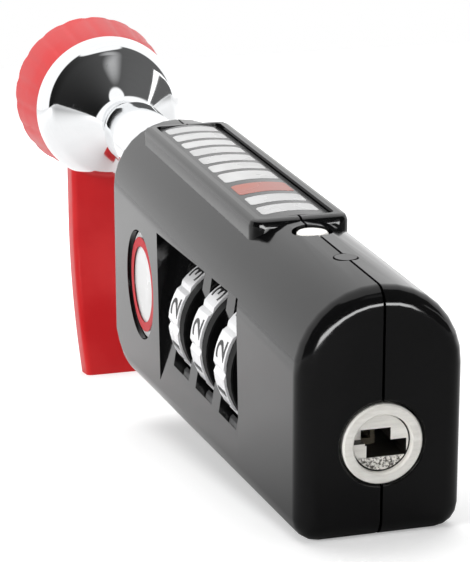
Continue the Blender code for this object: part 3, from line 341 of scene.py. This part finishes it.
def grainGroup():
    # fine drawn lines across one axis of the given vector, as on a turned or brushed face
    group, given, result = newGroup("drawnGrain", {"Fineness": 9000.0}, ("Lines", "Height"))
    mapping = group.nodes.new("ShaderNodeMapping")
    mapping.inputs["Scale"].default_value = (0.03, 1, 0.03)
    group.links.new(given["Vector"], mapping.inputs["Vector"])
    fine = noise(
        group, mapping.outputs["Vector"], given["Fineness"], detail=4, roughness=0.7)
    group.links.new(spread(group, fine, low=0.3, high=0.7), result["Lines"])
    group.links.new(fine, result["Height"])
    return group


handlingMarks = handlingGroup()
paintPeel = peelGroup()
settledDust = dustGroup()
drawnGrain = grainGroup()


def newMaterial(name):
    material = bpy.data.materials.new(name)
    material.use_nodes = True
    tree = material.node_tree
    place = tree.nodes.new("ShaderNodeTexCoord").outputs["Object"]
    return material, tree, tree.nodes["Principled BSDF"], place


def useGroup(tree, group, vector, **values):
    node = tree.nodes.new("ShaderNodeGroup")
    node.node_tree = group
    tree.links.new(vector, node.inputs["Vector"])
    for socketName, value in values.items():
        node.inputs[socketName].default_value = value
    return node.outputs


def markedGloss(tree, shader, marks, roughness, markRoughness):
    # the gloss runs from one roughness to the other with the smudges, and marks dull it
    base = spread(tree, marks["Smudge"], 0, 1, *roughness)
    marked = combine(tree, "MULTIPLY", marks["Marks"], markRoughness)
    tree.links.new(combine(tree, "ADD", base, marked), shader.inputs["Roughness"])


def bump(tree, shader, height, strength, distance):
    node = tree.nodes.new("ShaderNodeBump")
    node.inputs["Strength"].default_value = strength
    node.inputs["Distance"].default_value = distance
    tree.links.new(height, node.inputs["Height"])
    tree.links.new(node.outputs["Normal"], shader.inputs["Normal"])


def coatedSurface(name, look):
    # paint, enamel or moulded plastic: dust on the colour, smudges in the gloss, a slight ripple
    material, tree, shader, place = newMaterial(name)
    marks = useGroup(tree, handlingMarks, place, Reach=0.72)
    dust = useGroup(tree, settledDust, place, Amount=look["dust"])
    skin = useGroup(tree, paintPeel, place, Ripple=look.get("ripple", 700))
    deep = mixColour(tree, marks["Smudge"], look["colour"], look["colourLight"])
    dusty = mixColour(tree, dust["Mask"], deep, look["dustColour"])
    tree.links.new(dusty, shader.inputs["Base Color"])
    markedGloss(tree, shader, marks, look["roughness"], markRoughness=0.12)
    shader.inputs["IOR"].default_value = look["ior"]
    bump(tree, shader, skin["Height"], look["bump"], distance=0.02 * mm)
    return material


def platedSurface(name, look):
    # metal: fine drawn lines in its colour, with faint marks and smudges
    material, tree, shader, place = newMaterial(name)
    marks = useGroup(tree, handlingMarks, place, Reach=0.7)
    lines = useGroup(tree, drawnGrain, place)
    toned = mixColour(tree, lines["Lines"], look["colourDark"], look["colour"])
    smudged = mixColour(tree, marks["Smudge"], toned, look["colour"])
    tree.links.new(smudged, shader.inputs["Base Color"])
    markedGloss(tree, shader, marks, look["roughness"], markRoughness=0.1)
    shader.inputs["Metallic"].default_value = look.get("metallic", 1.0)
    bump(tree, shader, lines["Height"], look["bump"], distance=0.01 * mm)
    return material


def castSpeckle(material, look):
    # coarse dark specks, as on rough cast metal, that come in from one height down to another
    tree = material.node_tree
    shader = tree.nodes["Principled BSDF"]
    clean = shader.inputs["Base Color"].links[0].from_socket
    place = tree.nodes.new("ShaderNodeTexCoord").outputs["Object"]
    low = spread(tree, splitAxes(tree, place)[2], look["fromHeight"], look["toHeight"])
    coarse = noise(tree, place, look["size"], detail=3, roughness=0.7)
    specks = spread(tree, coarse, low=0.44, high=0.58)
    mask = combine(tree, "MULTIPLY", low, specks)
    tree.links.new(mixColour(tree, mask, clean, look["colour"]), shader.inputs["Base Color"])


bodyPaint = coatedSurface("glossBlackPaint", {
    "colour": (0.0025, 0.0025, 0.0027), "colourLight": (0.004, 0.004, 0.0042),
    "dustColour": (0.03, 0.03, 0.031), "dust": 0.08,
    "roughness": (0.09, 0.13), "ior": 1.37, "bump": 0.12, "ripple": 500,
})
dialPlastic = coatedSurface("satinBlackPlastic", {
    "colour": (0.002, 0.002, 0.0022), "colourLight": (0.004, 0.004, 0.004),
    "dustColour": (0.03, 0.028, 0.026), "dust": 0.04,
    "roughness": (0.42, 0.52), "ior": 1.13, "bump": 0.3, "ripple": 2500,
})
badgePaint = coatedSurface("badgeBlack", {
    "colour": (0.012, 0.012, 0.013), "colourLight": (0.02, 0.02, 0.021),
    "dustColour": (0.08, 0.08, 0.08), "dust": 0.25,
    "roughness": (0.16, 0.24), "ior": 1.45, "bump": 0.2, "ripple": 1500,
})
badgeSilver = coatedSurface("badgeSilverInk", {
    "colour": (0.46, 0.46, 0.46), "colourLight": (0.58, 0.58, 0.58),
    "dustColour": (0.4, 0.4, 0.4), "dust": 0.1,
    "roughness": (0.25, 0.35), "ior": 1.45, "bump": 0.1,
})
badgeRed = coatedSurface("badgeRedInk", {
    "colour": (0.32, 0.07, 0.045), "colourLight": (0.38, 0.10, 0.065),
    "dustColour": (0.4, 0.2, 0.2), "dust": 0.1,
    "roughness": (0.25, 0.35), "ior": 1.45, "bump": 0.1,
})
redPlastic = coatedSurface("redPlastic", {
    "colour": (0.52, 0.014, 0.017), "colourLight": (0.56, 0.022, 0.024),
    "dustColour": (0.55, 0.16, 0.14), "dust": 0.04,
    "roughness": (0.36, 0.44), "ior": 1.27, "bump": 0.2, "ripple": 900,
})
enamel = coatedSurface("whiteEnamel", {
    "colour": (0.60, 0.60, 0.60), "colourLight": (0.68, 0.68, 0.68),
    "dustColour": (0.5, 0.5, 0.5), "dust": 0.1,
    "roughness": (0.2, 0.3), "ior": 1.35, "bump": 0.1,
})
enamelRed = coatedSurface("redEnamel", {
    "colour": (0.42, 0.012, 0.018), "colourLight": (0.48, 0.02, 0.03),
    "dustColour": (0.5, 0.2, 0.2), "dust": 0.05,
    "roughness": (0.4, 0.5), "ior": 1.2, "bump": 0.1,
})
numberInk = coatedSurface("numberInk", {
    "colour": (0.006, 0.006, 0.007), "colourLight": (0.012, 0.012, 0.013),
    "dustColour": (0.04, 0.04, 0.04), "dust": 0.1,
    "roughness": (0.35, 0.5), "ior": 1.45, "bump": 0.2,
})
chromePlate = platedSurface("mirrorChrome", {
    "colour": (0.84, 0.85, 0.86), "colourDark": (0.80, 0.81, 0.82),
    "roughness": (0.035, 0.07), "bump": 0.02,
})
satinNickel = {
    "colour": (0.95, 0.93, 0.88), "colourDark": (0.80, 0.78, 0.73),
    "roughness": (0.3, 0.4), "bump": 0.12, "metallic": 0.15,
}
nickelPlate = platedSurface("satinNickel", satinNickel)
plugNickel = platedSurface("plugNickel", satinNickel)
castSpeckle(plugNickel, {
    "size": 3200, "colour": (0.10, 0.09, 0.075),
    "fromHeight": keyPoint.z - 1.1 * mm, "toHeight": keyPoint.z - 1.5 * mm,
})
silverBand = platedSurface("brightBand", {
    "colour": (0.82, 0.82, 0.83), "colourDark": (0.74, 0.74, 0.75),
    "roughness": (0.2, 0.3), "bump": 0.08, "metallic": 0.15,
})
plainSteel = platedSurface("plainSteel", {
    "colour": (0.56, 0.57, 0.58), "colourDark": (0.42, 0.43, 0.44),
    "roughness": (0.28, 0.4), "bump": 0.15,
})
plainBrass = platedSurface("plainBrass", {
    "colour": (0.76, 0.58, 0.28), "colourDark": (0.6, 0.44, 0.2),
    "roughness": (0.25, 0.38), "bump": 0.15,
})
# painted shade: the key wafers' brass made near-black, standing in for the shade deep in the
# keyway
brassPaintedShade = platedSurface("brassPaintedShade", {
    "colour": (0.05, 0.04, 0.024), "colourDark": (0.02, 0.016, 0.01),
    "roughness": (0.45, 0.6), "bump": 0.3, "metallic": 0.5,
})
# painted shade: a near-black finish for the keyway's inner walls, in place of the shade inside
# the keyway
keywayPaintedShade = platedSurface("keywayPaintedShade", {
    "colour": (0.03, 0.026, 0.02), "colourDark": (0.006, 0.005, 0.004),
    "roughness": (0.55, 0.7), "bump": 0.3, "metallic": 0.4,
})
print("stage: materials made")


# two painted halves, with the seam between them
housing = {
    "smoothAngle": 32,
    "halves": {"housing_left": "housingLeftSkin", "housing_right": "housingRightSkin"},
}
for nodeName, pieceName in housing["halves"].items():
    half = cleanCopy(nodeName, pieceName, smoothAngle=housing["smoothAngle"])
    weighNormals(half)
    dress(half, "housing", bodyPaint, (nodeName,))
pinPlug = cleanCopy("pin_plug", "pinPlugCap")
dress(pinPlug, "housing", bodyPaint, ("pin_plug",))
print("stage: housing")


# the round disc on the left face, with a plain red border printed on it
emblemRing = {
    "centreY": 61.3 * mm, "drop": 16.6 * mm,
    "outer": 5.6 * mm, "inner": 4.5 * mm, "height": 0.05 * mm, "steps": 72,
}


def borderProfile(r):
    low = [(r["inner"], 0), (r["outer"], 0)]
    return low + [(r["outer"], r["height"]), (r["inner"], r["height"])]


emblem = cleanCopy("emblem_disc", "emblemPlate", smoothAngle=30, flatAngle=0)
dress(emblem, "housing", enamel, ("emblem_disc",))
redRing = spinProfile("emblemRing", borderProfile(emblemRing), emblemRing["steps"], closed=True)
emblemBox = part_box("emblem_disc")
onFace = Matrix.Translation((0, emblemRing["centreY"], -emblemRing["drop"]))
facingLeft = Matrix.Rotation(-math.pi / 2, 4, "Y")
placeInMesh(
    redRing, Matrix.Translation((emblemBox[0][0], 0, 0)) @ lockPlace @ onFace @ facingLeft)
dress(redRing, "housing", enamelRed)


# the plate in the raised frame, with plain bars that follow the crown
badgeBars = {
    # centre along the lock and length along it, both in millimetres
    "rows": ((67.3, 2.5), (63.6, 2.8), (59.8, 2.6), (56.0, 2.8), (52.0, 2.9),
             (48.0, 2.9), (43.6, 3.7), (38.2, 3.9), (33.4, 3.0), (29.3, 2.9)),
    "redRow": 8, "fromX": -3.15, "toX": 2.95,
    "radius": 16.27 * mm, "crown": 0.3 * mm, "depth": 0.04 * mm, "corner": 0.5 * mm,
    "cutReach": 3.8 * mm, "cuts": 10,
}


def badgeBar(b, name, middleY, length):
    bar = roundedFace(name, (b["toX"] - b["fromX"]) * mm, length * mm, b["corner"])
    bpy.ops.mesh.extrude_region_move(TRANSFORM_OT_translate={"value": (0, 0, b["depth"])})
    cutAcross(bar, b["cutReach"], b["cuts"])
    middleX = (b["fromX"] + b["toX"]) / 2 * mm
    bar.data.transform(Matrix.Translation((middleX, 0, -b["depth"] / 2)))
    wrapRound(bar, b["radius"])
    closeAndSmooth(bar)
    placeInMesh(bar, lockPlace @ Matrix.Translation((0, middleY * mm, b["crown"])))
    return bar


badge = cleanCopy("badge_plate", "badgeInlay")
weighNormals(badge)
dress(badge, "housing", badgePaint, ("badge_plate",))
for i, (middleY, length) in enumerate(badgeBars["rows"], 1):
    bar = badgeBar(badgeBars, f"badgeBar_{i}", middleY, length)
    if i == badgeBars["redRow"]:
        dress(bar, "housing", badgeRed)
    else:
        dress(bar, "housing", badgeSilver)
print("stage: emblem and badge")


# painted shade: the keyway walls that don't face away from the key's axis are painted near-black
# from just behind the plug's face, standing in for the shade inside the keyway
keyway = {"behindFace": 0.02 * mm, "outwardLimit": 0.5, "alongLimit": 0.7}

sleeve = cleanCopy("key_sleeve", "keyRing")
dress(sleeve, "housing", nickelPlate, ("key_sleeve",))
keyPlug = cleanCopy("key_plug", "keyPlugFace")
dress(keyPlug, "key", plugNickel, ("key_plug",))
plugFace = min((vertex.co - keyPoint).dot(along) for vertex in keyPlug.data.vertices)
paintedShadeStart = plugFace + keyway["behindFace"]
# the sleeve is cut where the painted shade begins
editAll(sleeve)
bpy.ops.mesh.bisect(plane_co=keyPoint + along * paintedShadeStart, plane_no=along)
bpy.ops.object.mode_set(mode="OBJECT")
for piece in (keyPlug, sleeve):
    piece.data.materials.append(keywayPaintedShade)
    for face in piece.data.polygons:
        offset = face.center - keyPoint
        depth = offset.dot(along)
        outward = face.normal.dot((offset - along * depth).normalized())
        sideways = abs(face.normal.dot(along)) < keyway["alongLimit"]
        if depth > paintedShadeStart and outward < keyway["outwardLimit"] and sideways:
            face.material_index = 1
button = cleanCopy("reset_button", "resetCap")
dress(button, "button", nickelPlate, ("reset_button",))
print("stage: key and button")


numbers = {
    "radius": 7.2 * mm, "lift": 0.005 * mm, "middle": 1.075 * mm,
    "height": 3.0 * mm, "sizeForHeight": 1.37, "stretch": 1.25, "depth": 0.06 * mm,
    "resolution": 5, "cutReach": 1.7 * mm, "cuts": 6, "first": -54, "step": 36,
}


def flatFigure(n, value):
    # one upright figure in Blender's own letters, solid, centred on the origin in the XY plane
    deselectAll()
    bpy.ops.object.text_add()
    piece = bpy.context.object
    piece.data.body = str(value)
    piece.data.size = n["height"] * n["sizeForHeight"]
    piece.data.extrude = n["depth"] / 2
    piece.data.resolution_u = n["resolution"]
    bpy.ops.object.convert(target="MESH")
    bpy.ops.object.origin_set(type="ORIGIN_GEOMETRY", center="BOUNDS")
    piece.location = (0, 0, 0)
    editAll(piece)
    bpy.ops.mesh.remove_doubles(threshold=mergeGap)
    bpy.ops.object.mode_set(mode="OBJECT")
    return piece


def figureSet(n):
    # figures 0 to 9 round a dial, their tops towards the bolt
    # X across the figure turns upward, Y stays along the dial, Z points out at -X
    stand = Matrix(((0, 0, -1, 0), (0, 1, 0, 0), (1, 0, 0, 0), (0, 0, 0, 1)))
    out = Matrix.Translation((-n["radius"] - n["lift"], n["middle"], 0))
    figures = []
    for value in range(10):
        figure = flatFigure(n, value)
        figure.data.transform(Matrix.Diagonal((n["stretch"], 1, 1, 1)))
        cutAcross(figure, n["cutReach"], n["cuts"])
        wrapRound(figure, n["radius"] + n["lift"])
        around = Matrix.Rotation(math.radians(n["first"] + n["step"] * value), 4, "Y")
        figure.data.transform(around @ out @ stand)
        figures.append(figure)
    deselectAll()
    for figure in figures:
        figure.select_set(True)
    bpy.context.view_layer.objects.active = figures[0]
    bpy.ops.object.join()
    joined = bpy.context.object
    editAll(joined)
    bpy.ops.mesh.normals_make_consistent(inside=False)
    bpy.ops.object.mode_set(mode="OBJECT")
    return joined


def dialPlace(joint):
    # the dial's own frame: origin on its axis, Y along it, X across the lock
    axis = Vector(joint["axis"]).normalized()
    return axesMatrix(across, axis, across.cross(axis), Vector(joint["pos_m"]))


printed = figureSet(numbers)
for i in (1, 2, 3):
    band = cleanCopy(f"number_ring_{i}", f"numberBand_{i}", smoothAngle=30)
    dress(band, f"dial_{i}", silverBand, (f"number_ring_{i}",))
    wheel = cleanCopy(f"dial_wheel_{i}", f"gripBand_{i}")
    dress(wheel, f"dial_{i}", dialPlastic, (f"dial_wheel_{i}",))
    figures = bpy.data.objects.new(f"dialFigures_{i}", printed.data.copy())
    bpy.context.scene.collection.objects.link(figures)
    placeInMesh(figures, dialPlace(joints[f"dial_{i}_turn"]))
    dress(figures, f"dial_{i}", numberInk)
bpy.data.objects.remove(printed)
print("stage: dials")


# the bolt is turned afresh to the solid's sizes; lengths are from the far end of the body
bolt = {
    "drop": 6.6 * mm, "bodyLength": 76 * mm, "edge": 0.15 * mm, "steps": 160,
    "shank": 3.2 * mm, "shankEnd": -26.5 * mm, "shankPoint": 1.0 * mm,
    "grooveRadius": 2.2 * mm, "grooveStart": -16.6 * mm, "grooveWidth": 3.2 * mm,
    "collar": 4.2 * mm, "collarStart": 0.15 * mm, "neckStart": 19.65 * mm, "waistSteps": 16,
    "neck": 2.8 * mm, "flareStart": 28.15 * mm, "flareCurve": 1.5, "flareSteps": 26,
    "rim": 10.05 * mm, "rimEnd": 37.65 * mm,
    "lipWidth": 3.1 * mm, "lipDepth": 4.4 * mm, "lipSweep": 60, "lipSteps": 14,
    "hub": 7.0 * mm, "hubEnd": 46.75 * mm, "flange": 8.6 * mm, "flangeEnd": 48.5 * mm,
}
boltAxis = lockPlace @ Matrix.Translation((0, bolt["bodyLength"], -bolt["drop"]))
# a turned piece's own Z lies along the lock
boltPlace = boltAxis @ Matrix.Rotation(math.radians(-90), 4, "X")


def lipPoints(b):
    points = []
    for i in range(b["lipSteps"] + 1):
        turn = math.radians(b["lipSweep"] * i / b["lipSteps"])
        out = b["rim"] - b["lipWidth"] * (1 - math.cos(turn))
        points.append((out, b["rimEnd"] - b["edge"] - b["lipDepth"] * math.sin(turn)))
    return points


def flarePoints(b, startRadius, startHeight):
    points = []
    for i in range(1, b["flareSteps"]):
        share = i / b["flareSteps"]
        out = b["neck"] + (startRadius - b["neck"]) * (1 - share) ** b["flareCurve"]
        points.append((out, startHeight + (b["flareStart"] - startHeight) * share))
    return points


def waistPoints(b):
    points = []
    for i in range(b["waistSteps"] + 1):
        share = i / b["waistSteps"]
        out = b["neck"] + (b["collar"] - b["neck"]) * (0.5 - 0.5 * math.cos(math.pi * share))
        points.append((out, b["flareStart"] + (b["neckStart"] - b["flareStart"]) * share))
    return points


def boltProfile(b):
    edge = b["edge"]
    groove = b["grooveStart"]
    lip = lipPoints(b)
    profile = [(0, b["flangeEnd"]), (b["flange"] - edge, b["flangeEnd"])]
    profile += [(b["flange"], b["flangeEnd"] - edge), (b["flange"], b["hubEnd"])]
    profile += [(b["hub"], b["hubEnd"]), (b["hub"], b["rimEnd"])]
    profile += [(b["rim"] - edge, b["rimEnd"])]
    profile += lip + flarePoints(b, *lip[-1]) + waistPoints(b)
    profile += [(b["collar"], b["collarStart"] + edge), (b["collar"] - edge, b["collarStart"])]
    profile += [(b["shank"], b["collarStart"]), (b["shank"], groove + b["grooveWidth"])]
    profile += [(b["grooveRadius"], groove + b["grooveWidth"]), (b["grooveRadius"], groove)]
    profile += [(b["shank"], groove), (b["shank"], b["shankEnd"] + b["shankPoint"])]
    return profile + [(b["shank"] - b["shankPoint"], b["shankEnd"]), (0, b["shankEnd"])]


boltPiece = spinProfile("turnedBolt", boltProfile(bolt), bolt["steps"])
placeInMesh(boltPiece, boltPlace)
dress(boltPiece, "bolt", chromePlate, ("bolt",))
print("stage: bolt")


gripRing = {
    "start": 37.8 * mm, "length": 11.0 * mm, "lipLength": 8.8 * mm,
    "radius": 11.0 * mm, "front": 9.8 * mm, "bore": 7.3 * mm, "counterbore": 8.9 * mm,
    "edge": 0.8 * mm, "edgeSteps": 8, "frontEdge": 0.15 * mm, "steps": 240,
    "grooves": 20, "grooveDepth": 0.12 * mm, "grooveTurn": 3, "grooveSharpness": 4,
}


def gripRingPiece(g):
    far = g["start"] + g["length"]
    step = g["start"] + g["lipLength"]
    profile = [(g["counterbore"], far)]
    profile += arc(g["radius"] - g["edge"], far - g["edge"], g["edge"], 90, 0, g["edgeSteps"])
    profile += [(g["front"], g["start"] + g["frontEdge"])]
    profile += [(g["front"] - g["frontEdge"], g["start"]), (g["bore"], g["start"])]
    profile += [(g["bore"], step), (g["counterbore"], step)]
    piece = spinProfile("gripRing", profile, g["steps"], closed=True)
    # shallow grooves along the outside only
    for vertex in piece.data.vertices:
        out = vertex.co.xy.length
        if out < (g["counterbore"] + g["front"]) / 2:
            continue
        turn = math.atan2(vertex.co.y, vertex.co.x) + math.radians(g["grooveTurn"])
        wave = ((1 + math.cos(g["grooves"] * turn)) / 2) ** g["grooveSharpness"]
        share = 1 - g["grooveDepth"] * wave / out
        vertex.co.x *= share
        vertex.co.y *= share
    placeInMesh(piece, boltPlace)
    return piece


gripTongue = {
    "start": 37.8 * mm, "root": -7.8 * mm,
    "width": 10.4 * mm, "thickness": 4.2 * mm, "corner": 0.8 * mm, "straight": 16.5 * mm,
    "bend": 35.0 * mm, "sweep": 42, "bendSteps": 28, "foot": 0.02 * mm, "cutGap": 0.001 * mm,
}


def gripTonguePiece(g):
    # a rounded cross-section drawn down, swept round the bend and cut off level with the ground
    piece = roundedFace("gripTongue", g["width"], g["thickness"], g["corner"])
    bpy.ops.transform.translate(value=(0, g["start"] + g["thickness"] / 2, g["root"]))
    down = (0, 0, -g["straight"] - g["root"])
    bpy.ops.mesh.extrude_region_move(TRANSFORM_OT_translate={"value": down})
    centre = (0, g["start"] + g["thickness"] - g["bend"], -g["straight"])
    bpy.ops.mesh.spin(
        steps=g["bendSteps"], angle=math.radians(g["sweep"]), center=centre, axis=(1, 0, 0))
    closeAndSmooth(piece)
    placeInMesh(piece, boltAxis)
    editAll(piece)
    bpy.ops.mesh.bisect(
        plane_co=(0, 0, g["foot"]), plane_no=(0, 0, 1), clear_inner=True, use_fill=True,
        threshold=g["cutGap"])
    closeAndSmooth(piece)
    return piece


dress(gripRingPiece(gripRing), "grip", redPlastic, ("pull_grip",))
dress(gripTonguePiece(gripTongue), "grip", redPlastic)
print("stage: grip")


# what stays inside keeps its solid and gets its own finish
innerFinish = (
    (plainSteel, ("detent_spring", "bolt_bushing", "latch_spring", "reset_button_spring",
                  "dowel_1", "dowel_2", "dowel_3", "dowel_4",
                  "dial_spindle", "latch_plate", "plug_cam")),
    (plainBrass, ("dial_sleeve_1", "dial_sleeve_2", "dial_sleeve_3")),
    # the wafers seen through the keyway carry painted shade
    (brassPaintedShade, ("key_wafer_1", "key_wafer_2", "key_wafer_3")),
)
for material, names in innerFinish:
    for nodeName in names:
        for holder in nodes[nodeName].material_slots:
            holder.material = material
print("stage: inner pieces")


floorLook = {
    "size": 3.0, "shift": (0.6, 1.28, 0), "paperScale": 60,
    "tones": ((0.79, 0.79, 0.79), (0.81, 0.81, 0.81)), "roughness": 0.9, "specular": 0.1,
    # in a mirror: near the key end, from one Y to the other, the floor is darker by this share
    "darkFrom": 0.02, "darkTo": -0.09, "darkShare": 0.70,
    # in a mirror: its own light at these distances, up to that of the tent
    "mirrorNear": (0.1, 0.3, 0, 0.2), "mirrorFar": (0.35, 1.2, 0, 0.5),
    # to the eye: its own light from near the lock outwards
    "lift": (0.09, 0.4, 0.33, 0.72),
}


def studioFloor(look):
    deselectAll()
    bpy.ops.mesh.primitive_plane_add(size=look["size"], location=look["shift"])
    floor = bpy.context.object
    floor.name = "studioFloor"
    bpy.ops.object.transform_apply(location=True)
    material, tree, shader, place = newMaterial("paleFloor")
    shader.inputs["Roughness"].default_value = look["roughness"]
    shader.inputs["Specular IOR Level"].default_value = look["specular"]
    path = tree.nodes.new("ShaderNodeLightPath").outputs
    paper = noise(tree, place, look["paperScale"], detail=3, roughness=0.5)
    tone = mixColour(tree, spread(tree, paper, low=0.3, high=0.7), *look["tones"])
    # the near end mirrors the floor under the camera, which stood in the dark
    placeY = splitAxes(tree, place)[1]
    inFront = spread(tree, placeY, look["darkFrom"], look["darkTo"], 0, look["darkShare"])
    shaded = combine(tree, "MULTIPLY", inFront, path["Is Glossy Ray"])
    tree.links.new(mixColour(tree, shaded, tone, (0, 0, 0)), shader.inputs["Base Color"])
    # away from the lock the floor runs into the white background, and its shadow stays
    length = tree.nodes.new("ShaderNodeVectorMath")
    length.operation = "LENGTH"
    tree.links.new(place, length.inputs[0])
    far = length.outputs["Value"]
    seen = combine(tree, "MULTIPLY", path["Is Camera Ray"], spread(tree, far, *look["lift"]))
    mirrorNear = spread(tree, far, *look["mirrorNear"])
    mirrorLight = combine(tree, "ADD", mirrorNear, spread(tree, far, *look["mirrorFar"]))
    mirrored = combine(tree, "MULTIPLY", path["Is Glossy Ray"], mirrorLight)
    shader.inputs["Emission Color"].default_value = (1, 1, 1, 1)
    tree.links.new(combine(tree, "MAXIMUM", seen, mirrored), shader.inputs["Emission Strength"])
    floor.data.materials.append(material)


studioFloor(floorLook)


# what a mirror sees: X is to the lock's right, Y away from the camera, Z up
# of four numbers the first two are a direction's start and end, the others the light there
tentLook = {
    "diffuse": 0.38, "white": 1.2, "frontEdge": (0.0, 0.1), "topEdge": (0.90, 0.94),
    "dark": (-1.3, 0.9, 0.006, 0.13),
    "slitNormal": (0.0, 0.368, 0.930), "slitShift": 0.14, "slitWidth": 0.035,
    "slitFromX": 0.8, "slitStrength": 1.6,
    "glowX": 0.17, "glowWidth": (0.30, 0.02), "glowRise": (-0.35, -0.68, 0.08, 0.5),
    "glowEnd": (-0.74, -0.65), "glowFromZ": 0.3,
    "lineHeight": (0.13, 0.08, 0, 20.0), "lineEdge": (-0.8, -0.88),
}


def towards(tree, vector, aim):
    # how far a direction leans towards aim
    node = tree.nodes.new("ShaderNodeVectorMath")
    node.operation = "DOT_PRODUCT"
    tree.links.new(vector, node.inputs[0])
    node.inputs[1].default_value = Vector(aim).normalized()
    return node.outputs["Value"]


def studioWorld(look):
    world = bpy.data.worlds.new("studioWorld")
    bpy.context.scene.world = world
    world.use_nodes = True
    tree = world.node_tree
    direction = tree.nodes.new("ShaderNodeTexCoord").outputs["Generated"]
    x, y, z = splitAxes(tree, direction)
    # a white tent behind and above, dark towards the camera
    dark = spread(tree, x, *look["dark"])
    behind = spread(tree, y, *look["frontEdge"])
    overhead = spread(tree, z, *look["topEdge"])
    tent = spread(tree, combine(tree, "MAXIMUM", behind, overhead), 0, 1, dark, look["white"])
    # a slit of light at the tent's right
    slitLean = towards(tree, direction, look["slitNormal"])
    slitPlace = combine(tree, "SUBTRACT", slitLean, look["slitShift"])
    inSlit = combine(tree, "LESS_THAN", withoutSign(tree, slitPlace), look["slitWidth"])
    atRight = combine(tree, "GREATER_THAN", x, look["slitFromX"])
    slit = combine(tree, "MULTIPLY", inSlit, atRight, look["slitStrength"])
    # a soft glow above the camera
    besideGlow = withoutSign(tree, combine(tree, "SUBTRACT", x, look["glowX"]))
    glow = combine(
        tree, "MULTIPLY", spread(tree, besideGlow, *look["glowWidth"]),
        spread(tree, y, *look["glowRise"]), spread(tree, y, *look["glowEnd"]),
        combine(tree, "GREATER_THAN", z, look["glowFromZ"]))
    # a bright line low behind the camera, which only the near end's round edge catches
    fromLevel = withoutSign(tree, z)
    line = combine(
        tree, "MULTIPLY", spread(tree, fromLevel, *look["lineHeight"]),
        spread(tree, y, *look["lineEdge"]))
    mirrorLight = combine(tree, "MAXIMUM", tent, slit, glow, line)
    # mirrors see the tent, other surfaces an even light, and the eye plain white
    path = tree.nodes.new("ShaderNodeLightPath").outputs
    glossy = combine(tree, "MAXIMUM", path["Is Glossy Ray"], path["Is Transmission Ray"])
    diffuse = combine(
        tree, "MULTIPLY", combine(tree, "SUBTRACT", 1.0, glossy), look["diffuse"])
    mirrored = combine(tree, "MULTIPLY", glossy, mirrorLight)
    light = combine(tree, "ADD", diffuse, mirrored)
    background = tree.nodes["Background"]
    background.inputs["Color"].default_value = (1, 1, 1, 1)
    strength = combine(tree, "MAXIMUM", light, path["Is Camera Ray"])
    tree.links.new(strength, background.inputs["Strength"])


studioWorld(tentLook)


lamps = {
    "target": (0, 0, 0.02),
    "rows": (("keyLamp", (0.06, 0.30, 0.62), 0.75, 5.4),
             ("fillLamp", (-0.55, -0.24, 0.22), 0.3, 2.6)),
}


def softLamp(name, place, target, size, power):
    lamp = bpy.data.lights.new(name, "AREA")
    lamp.size = size
    lamp.energy = power
    holder = bpy.data.objects.new(name, lamp)
    bpy.context.scene.collection.objects.link(holder)
    holder.location = place
    aim = Vector(target) - Vector(place)
    holder.rotation_euler = aim.to_track_quat("-Z", "Y").to_euler()
    holder.visible_glossy = False


for name, place, size, power in lamps["rows"]:
    softLamp(name, place, lamps["target"], size, power)


# the camera stands where the photograph was taken from, given in the lock's own axes
view = {
    "eye": (-64.14, -174.51, 56.45), "forward": (0.264, 0.9207, -0.2874),
    "right": (0.961, -0.2764, -0.0025), "lens": 137.7, "sensor": 36, "clipStart": 0.01,
}


def photoCamera(v):
    turned = lockPlace.to_3x3()
    forward = (turned @ Vector(v["forward"])).normalized()
    right = turned @ Vector(v["right"])
    right = (right - forward * right.dot(forward)).normalized()
    lens = bpy.data.cameras.new("photoCamera")
    lens.sensor_fit = "VERTICAL"
    lens.sensor_height = v["sensor"]
    lens.lens = v["lens"]
    lens.clip_start = v["clipStart"]
    camera = bpy.data.objects.new("photoCamera", lens)
    bpy.context.scene.collection.objects.link(camera)
    eye = lockPlace @ (Vector(v["eye"]) * mm)
    camera.matrix_world = axesMatrix(right, right.cross(forward), -forward, eye)
    return camera


bpy.context.scene.camera = photoCamera(view)
bpy.context.scene.view_settings.view_transform = "Standard"
print("stage: studio")
